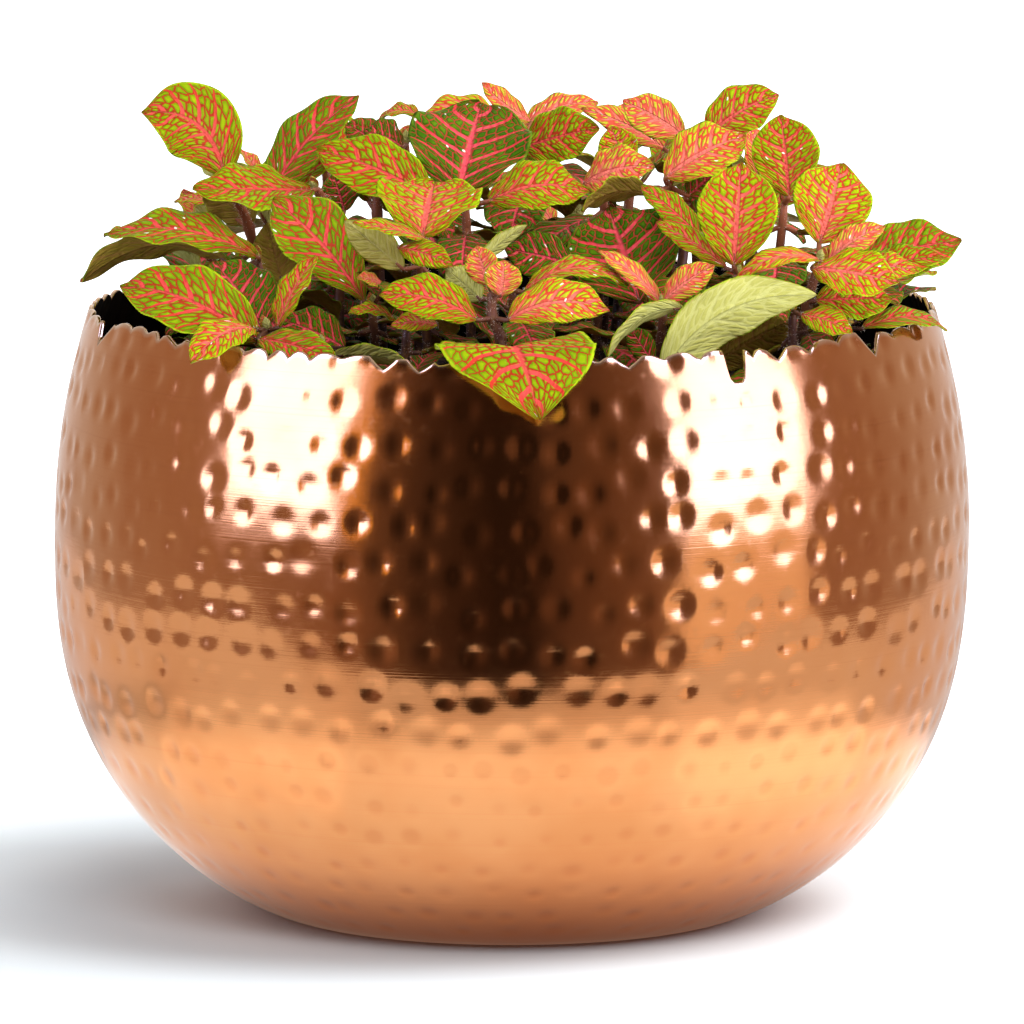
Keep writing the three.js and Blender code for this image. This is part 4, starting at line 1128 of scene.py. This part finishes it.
def under_face(r, age, patch, veins, threads):
    """Colour of a leaf's under face: pale on a young leaf, and patchy and browner in the shade."""
    # painted shade: browner under faces on leaves with high ages, which sit in shade
    shaded = r.span(age, 0.5, 0.62)
    pale = r.mix(shaded, rgb(184, 180, 96), rgb(154, 144, 46))
    pale = r.mix(r.times(patch, shaded), pale, rgb(126, 88, 36))
    pale = r.mix(r.times(veins, 0.5), pale, r.mix(shaded, rgb(212, 210, 140), rgb(158, 104, 66)))
    return r.mix(r.times(threads, 0.3), pale, r.mix(shaded, rgb(154, 156, 66), rgb(104, 92, 34)))


def veined_leaf():
    """Leaf: islands of green between red veins that are widest near the midrib. Its age sets the
    greens and how wide and how pink the veins are. The margin is a thin lime line, the upper face is
    sunk along the veins, and the under face is pale."""
    r = material("net-veined leaf")
    across, s, _ = r.parts(r.own_map("place"))
    grown, broad, _ = r.parts(r.own_map("growth"))
    t = r.minus(r.times(across, 2.0), 1.0)
    off = r.math("ABSOLUTE", t)
    seed = r.math("FLOOR", grown)
    age = r.minus(grown, seed)
    width = r.math("FLOOR", r.times(broad, 0.5001))
    under = r.minus(broad, r.times(width, 2.0))
    side, net, fine, speck = leaf_veins(r, s, t, off, seed, width)
    young = r.span(age, 0.45, 0.05)
    # partly painted shade: high ages, given to leaves that sit in shade, darken the greens
    old = r.span(age, 0.5, 0.9)
    bud = r.span(age, 0.24, 0.1)

    def by_age(full, early, late):
        return r.mix(old, r.mix(young, rgb(*full), rgb(*early)), rgb(*late))

    # How much a place is on the midrib, on a side vein, on the net and on the finer net
    inward = r.line(r.math("POWER", off, 2.0), 1.0, -0.72)
    rib_width = r.times(r.minus(1.1, s), r.line(young, 0.06, 0.06))
    side_width = r.times(inward, r.line(young, 0.19, 0.08))
    net_width = r.plus(r.times(bud, 0.06), r.line(young, 0.108, 0.055))
    net_width = r.times(inward, net_width, r.line(old, 1.0, -0.3))
    rib = r.span(r.minus(off, rib_width), 0.04, -0.02)
    sides = r.span(r.minus(side, side_width), 0.06, -0.03)
    cells = r.span(r.minus(net, net_width), 0.05, -0.02)
    threads = r.span(fine, 0.08, 0.0)
    veins = r.math("MAXIMUM", rib, r.math("MAXIMUM", sides, r.times(cells, 0.7)))

    # Islands of green, in patches and darker towards their edges
    patch = r.noise(r.vector(t, r.times(s, 2.0), seed), 2.6, 2.0)
    green = by_age((122, 152, 2), (184, 204, 0), (58, 102, 6))
    patches = by_age((164, 188, 6), (208, 214, 14), (110, 146, 14))
    green = r.mix(r.span(patch, 0.35, 0.7, 0.0, 0.5), green, patches)
    green = r.mix(r.times(threads, 0.14), green, r.mix(old, rgb(160, 110, 16), rgb(70, 62, 12)))
    edge = r.times(r.span(net, 0.32, 0.12, 0.0, 0.6), r.line(bud, 1.0, -1.0))
    green = r.mix(edge, green, by_age((96, 128, 4), (148, 172, 4), (36, 74, 6)))

    # Veins, with a pink wash on young leaves that is strongest low on the midrib
    wash = r.times(r.span(off, 0.6, 0.0), r.span(s, 0.85, 0.05), r.line(young, 0.14, 0.55))
    wash = r.plus(r.times(wash, r.line(old, 1.0, -1.0)), r.times(bud, 0.2))
    core = r.math("MAXIMUM", rib, r.times(sides, r.span(off, 0.8, 0.1)))
    red = by_age((160, 50, 18), (212, 66, 40), (172, 50, 42))
    rose = by_age((202, 54, 40), (236, 90, 68), (218, 60, 68))
    pink = by_age((222, 76, 70), (250, 130, 114), (232, 80, 92))
    top = r.mix(r.times(cells, r.line(old, 1.0, -0.12)), green, red)
    top = r.mix(sides, top, rose)
    top = r.mix(r.math("MAXIMUM", core, wash), top, pink)
    top = r.mix(r.span(off, 0.93, 0.98), top, r.mix(old, rgb(172, 196, 20), rgb(104, 132, 26)))
    pick = r.parts(speck.node.outputs["Color"])[0]
    dust = r.times(r.span(speck, 0.1, 0.07), r.math("GREATER_THAN", pick, 0.955))
    top = r.mix(dust, top, rgb(244, 240, 226))

    colour = r.mix(under, top, under_face(r, age, patch, veins, threads))
    relief = r.minus(r.plus(r.span(net, 0.0, 0.4, 0.0, 0.6), r.span(side, 0.0, 0.6, 0.0, 0.7)), rib)
    relief = r.times(relief, r.line(under, 1.0, -0.5))
    rough = r.plus(r.times(veins, 0.1), r.line(under, 0.46, 0.15))
    return r.finish(Base_Color=colour, Roughness=rough, Specular_IOR_Level=0.08,
                    Normal=r.bump(relief, 0.0006, 0.9))


# The studio, in metres and in degrees from the front. The painted pools of more light on the floor come
# up between the first two of these angles and distances, and fade between the last two.
FLOOR_Z = -0.0001
POOL_SIDES = (30.0, 36.0, 76.0, 84.0)
POOL_REACH = (0.1, 0.15, 0.25, 0.3)
FADE_REACH = (0.15, 0.25)
CLOSE_REACH = (0.075, 0.125)
OUTER_REACH = (0.16, 0.25)
# Floor tints: painted shade, a grey-blue close to the bowl that lightens to near white further out
FLOOR_PAINTED_SHADE_TINTS = [rgb(188, 200, 208), rgb(226, 238, 245), rgb(236, 241, 246)]
# Table tints: a painted peach copper light close to the bowl, white further out, painted shade far out
TABLE_PAINTED_LIGHT_TINTS = [rgb(236, 180, 148), rgb(250, 248, 246), rgb(190, 186, 184)]

# Lights: name, place, the point it is aimed at, width, height and power
LIGHTS = [
    ["key_light", (1.7, -0.35, 1.5), (0, 0, 0.12), 1.9, 1.9, 60],
    ["front_light", (0.3, -2.4, 1.7), (0, 0, 0.15), 1.4, 1.0, 36],
    ["fill_light", (-1.4, -0.9, 1.1), (0, 0, 0.12), 1.2, 1.2, 8],
    ["back_light", (0.2, 1.6, 1.4), (0, 0, 0.15), 1.6, 0.8, 7],
]

# How light the room is that the metal mirrors, by degrees from the front towards +X, the ends first,
# and how much less green and blue there is where it is dim
ROOM_LEVELS = [
    [-180, 1.5], [180, 1.5], [-146, 0.9], [-133, 0.76], [-113, 0.62], [-97, 0.6], [-84, 0.56],
    [-44, 0.36], [-38, 0.28], [-30, 0.16], [-22, 0.09], [-10, 0.05], [-4, 0.03], [4, 0.04], [12, 0.15],
    [22, 0.2], [32, 0.25], [42, 0.31], [86, 0.5], [103, 0.58], [120, 0.7], [142, 0.95],
]
ROOM_WARMTH = (0.36, 0.5)
CEILING = (0.6, 0.58, 0.56, 1)
SOFT_BOX = (5.4, 6.6, 12.0, 1)
BOX_FOOT = (1.5, 1.3, 1.1, 1)
AMBER_EDGE = (1.3, 0.8, 0.16, 1)
SHED_LIGHT = (0.75, 0.75, 0.75, 1)
ROOM_STRENGTH = 0.6

CAMERA_PLACE = (0.0, -3.2240, 0.5566)
CAMERA_AIM = (0.0, 0.0, 0.1048)
CAMERA_LENS = 436.0


def floor_finish(name, middle, painted_glow, left, pools, tints):
    """White floor with painted light and shade. How far it lights itself, which is painted light, goes
    from nothing at one distance from its middle to a level at another, with a share left further out,
    and pools, which are painted light too, are how much more there is on either side. Its tint goes from
    one close to the bowl to one further out and one beyond: a painted shade close to the bowl on the
    floor, and on the table a painted copper light close to it and a painted shade far out."""
    near, full, level = painted_glow
    close, wide, outer = tints
    r = material(name)
    at = r.coordinates()
    centred = r.node("VectorMath", {0: at, 1: (middle, 0.0, 0.0)}, operation="SUBTRACT")
    far = r.node("VectorMath", {0: centred}, out=1, operation="LENGTH")
    x, y, _ = r.parts(at)
    turn = r.math("ABSOLUTE", r.math("DEGREES", r.math("ARCTAN2", x, r.times(y, -1.0))))
    from_low, to_low, from_high, to_high = POOL_SIDES
    # painted light: pools of more light on the table, left and right of the bowl
    pool = r.times(r.span(turn, from_low, to_low), r.span(turn, to_high, from_high))
    inner, start, end, outside = POOL_REACH
    pool = r.times(pool, r.span(far, outside, end), r.span(far, inner, start, 0.0, pools))
    # painted light: the sheet lights itself, from nothing close to the bowl up to a level further out
    light = r.times(r.span(far, near, full, 0.0, level), r.span(far, *FADE_REACH, 1.0, left))
    # painted shade and light: the tint changes with the distance from the bowl
    tint = r.mix(r.span(far, *CLOSE_REACH), close, wide)
    tint = r.mix(r.span(far, *OUTER_REACH), tint, outer)
    tint = r.mix(r.times(r.noise(at, 3.0), 0.1), tint, rgb(245, 247, 248))
    return r.finish(Base_Color=tint, Roughness=0.8, Specular_IOR_Level=0.1,
                    Emission_Color=(1, 1, 1, 1), Emission_Strength=r.plus(light, pool))


def flat_sheet(name, finish, x, y):
    """A level rectangle from x to x and y to y that isn't part of the object."""
    mesh = bpy.data.meshes.new(name)
    corners = [(x[i], y[j], FLOOR_Z) for i, j in ((0, 0), (1, 0), (1, 1), (0, 1))]
    mesh.from_pydata(corners, [], [(0, 1, 2, 3)])
    mesh.materials.append(finish)
    sheet = bpy.data.objects.new(name, mesh)
    bpy.context.scene.collection.objects.link(sheet)
    return sheet


def aimed(name, data, place, aim):
    """A light or a camera at a place, turned to look at a point."""
    thing = bpy.data.objects.new(name, data)
    thing.location = place
    thing.rotation_euler = (Vector(aim) - Vector(place)).to_track_quat("-Z", "Y").to_euler()
    bpy.context.scene.collection.objects.link(thing)
    return thing


def mirrored_room():
    """Surround that is even white for the light it sheds and, where the metal mirrors it, a dim room
    with a tall soft box on either side."""
    world = bpy.data.worlds.new("studio room")
    bpy.context.scene.world = world
    r = Recipe(world)
    x, y, z = r.parts(r.node("TexCoord", {}))
    turn = r.math("DEGREES", r.math("ARCTAN2", x, r.times(y, -1.0)))
    rise = r.math("DEGREES", r.math("ARCSINE", z))
    above_floor = r.span(rise, -2.0, 3.0)
    left = r.times(r.span(turn, -82.0, -76.0), r.span(turn, -41.0, -46.0))
    right = r.times(r.span(turn, 41.0, 46.0), r.span(turn, 84.0, 78.0))
    foot = r.times(right, r.span(rise, -18.0, -14.0))
    boxes = r.times(r.plus(left, right), r.span(rise, 62.0, 52.0), above_floor)
    amber = r.times(r.span(turn, -44.0, -41.0), r.span(turn, -35.0, -38.0), above_floor)
    room = r.node("ValToRGB", {0: r.plus(r.math("DIVIDE", turn, 360.0), 0.5)})
    stops = room.node.color_ramp.elements
    for where, level in ROOM_LEVELS:
        place = where / 360 + 0.5
        stop = stops.new(place) if 0 < place < 1 else stops[int(place)]
        warm = smooth((0.9 - level) / 0.5)
        stop.color = (level, *[level * (1 - share * warm) for share in ROOM_WARMTH], 1)
    room = r.mix(r.span(rise, 35.0, 75.0), room, CEILING)
    room = r.mix(amber, room, AMBER_EDGE)
    room = r.mix(foot, room, BOX_FOOT)
    room = r.mix(boxes, room, SOFT_BOX)
    in_metal = r.node("LightPath", {}, out=3)
    r.finish("Background", Color=r.mix(in_metal, SHED_LIGHT, room), Strength=ROOM_STRENGTH)


def studio():
    """Pale floor with painted shade close to the bowl, the white table top that only the metal mirrors,
    which glows with painted light, soft lights and the surround.
    """
    white = floor_finish("white floor with painted light and shade", -0.035, (0.095, 0.3, 0.9), 1.0, 0.0, FLOOR_PAINTED_SHADE_TINTS)
    floor = flat_sheet("studio_floor", white, (-30, 30), (-12, 30))
    floor.visible_glossy = False
    # painted light: a table top that lights itself and is seen only in the metal
    board = floor_finish("white table top", 0.0, (0.062, 0.105, 0.66), 0.08, 0.2, TABLE_PAINTED_LIGHT_TINTS)
    table = flat_sheet("table_top", board, (-0.54, 0.54), (-0.285, 0.6))
    table.visible_camera = table.visible_diffuse = table.visible_shadow = False
    for name, place, aim, wide, high, power in LIGHTS:
        lamp = bpy.data.lights.new(name, "AREA")
        lamp.shape = "RECTANGLE"
        lamp.size = wide
        lamp.size_y = high
        lamp.energy = power
        aimed(name, lamp, place, aim).visible_glossy = False
    mirrored_room()


def camera():
    """Long lens from the front, 8 degrees above level, looking a little under the middle."""
    lens = bpy.data.cameras.new("front_camera")
    lens.lens = CAMERA_LENS
    lens.sensor_width = 36.0
    lens.clip_end = 100.0
    bpy.context.scene.camera = aimed("front_camera", lens, CAMERA_PLACE, CAMERA_AIM)


bpy.context.scene.view_settings.view_transform = "Standard"
camera()
copper_bowl(spun_copper(), dark_lining())
potting_soil(dark_soil(), pale_grit())
growing = [hairy_stem(), veined_leaf(), stem_hair()]
shoots = [*SHOOTS, *back_shoots()]
for number, ((foot, joints, leaves), (low, spots)) in enumerate(zip(shoots, low_leaves(shoots)), 1):
    leafy_shoot(number, foot, joints, [*leaves, *low], spots, growing)
studio()
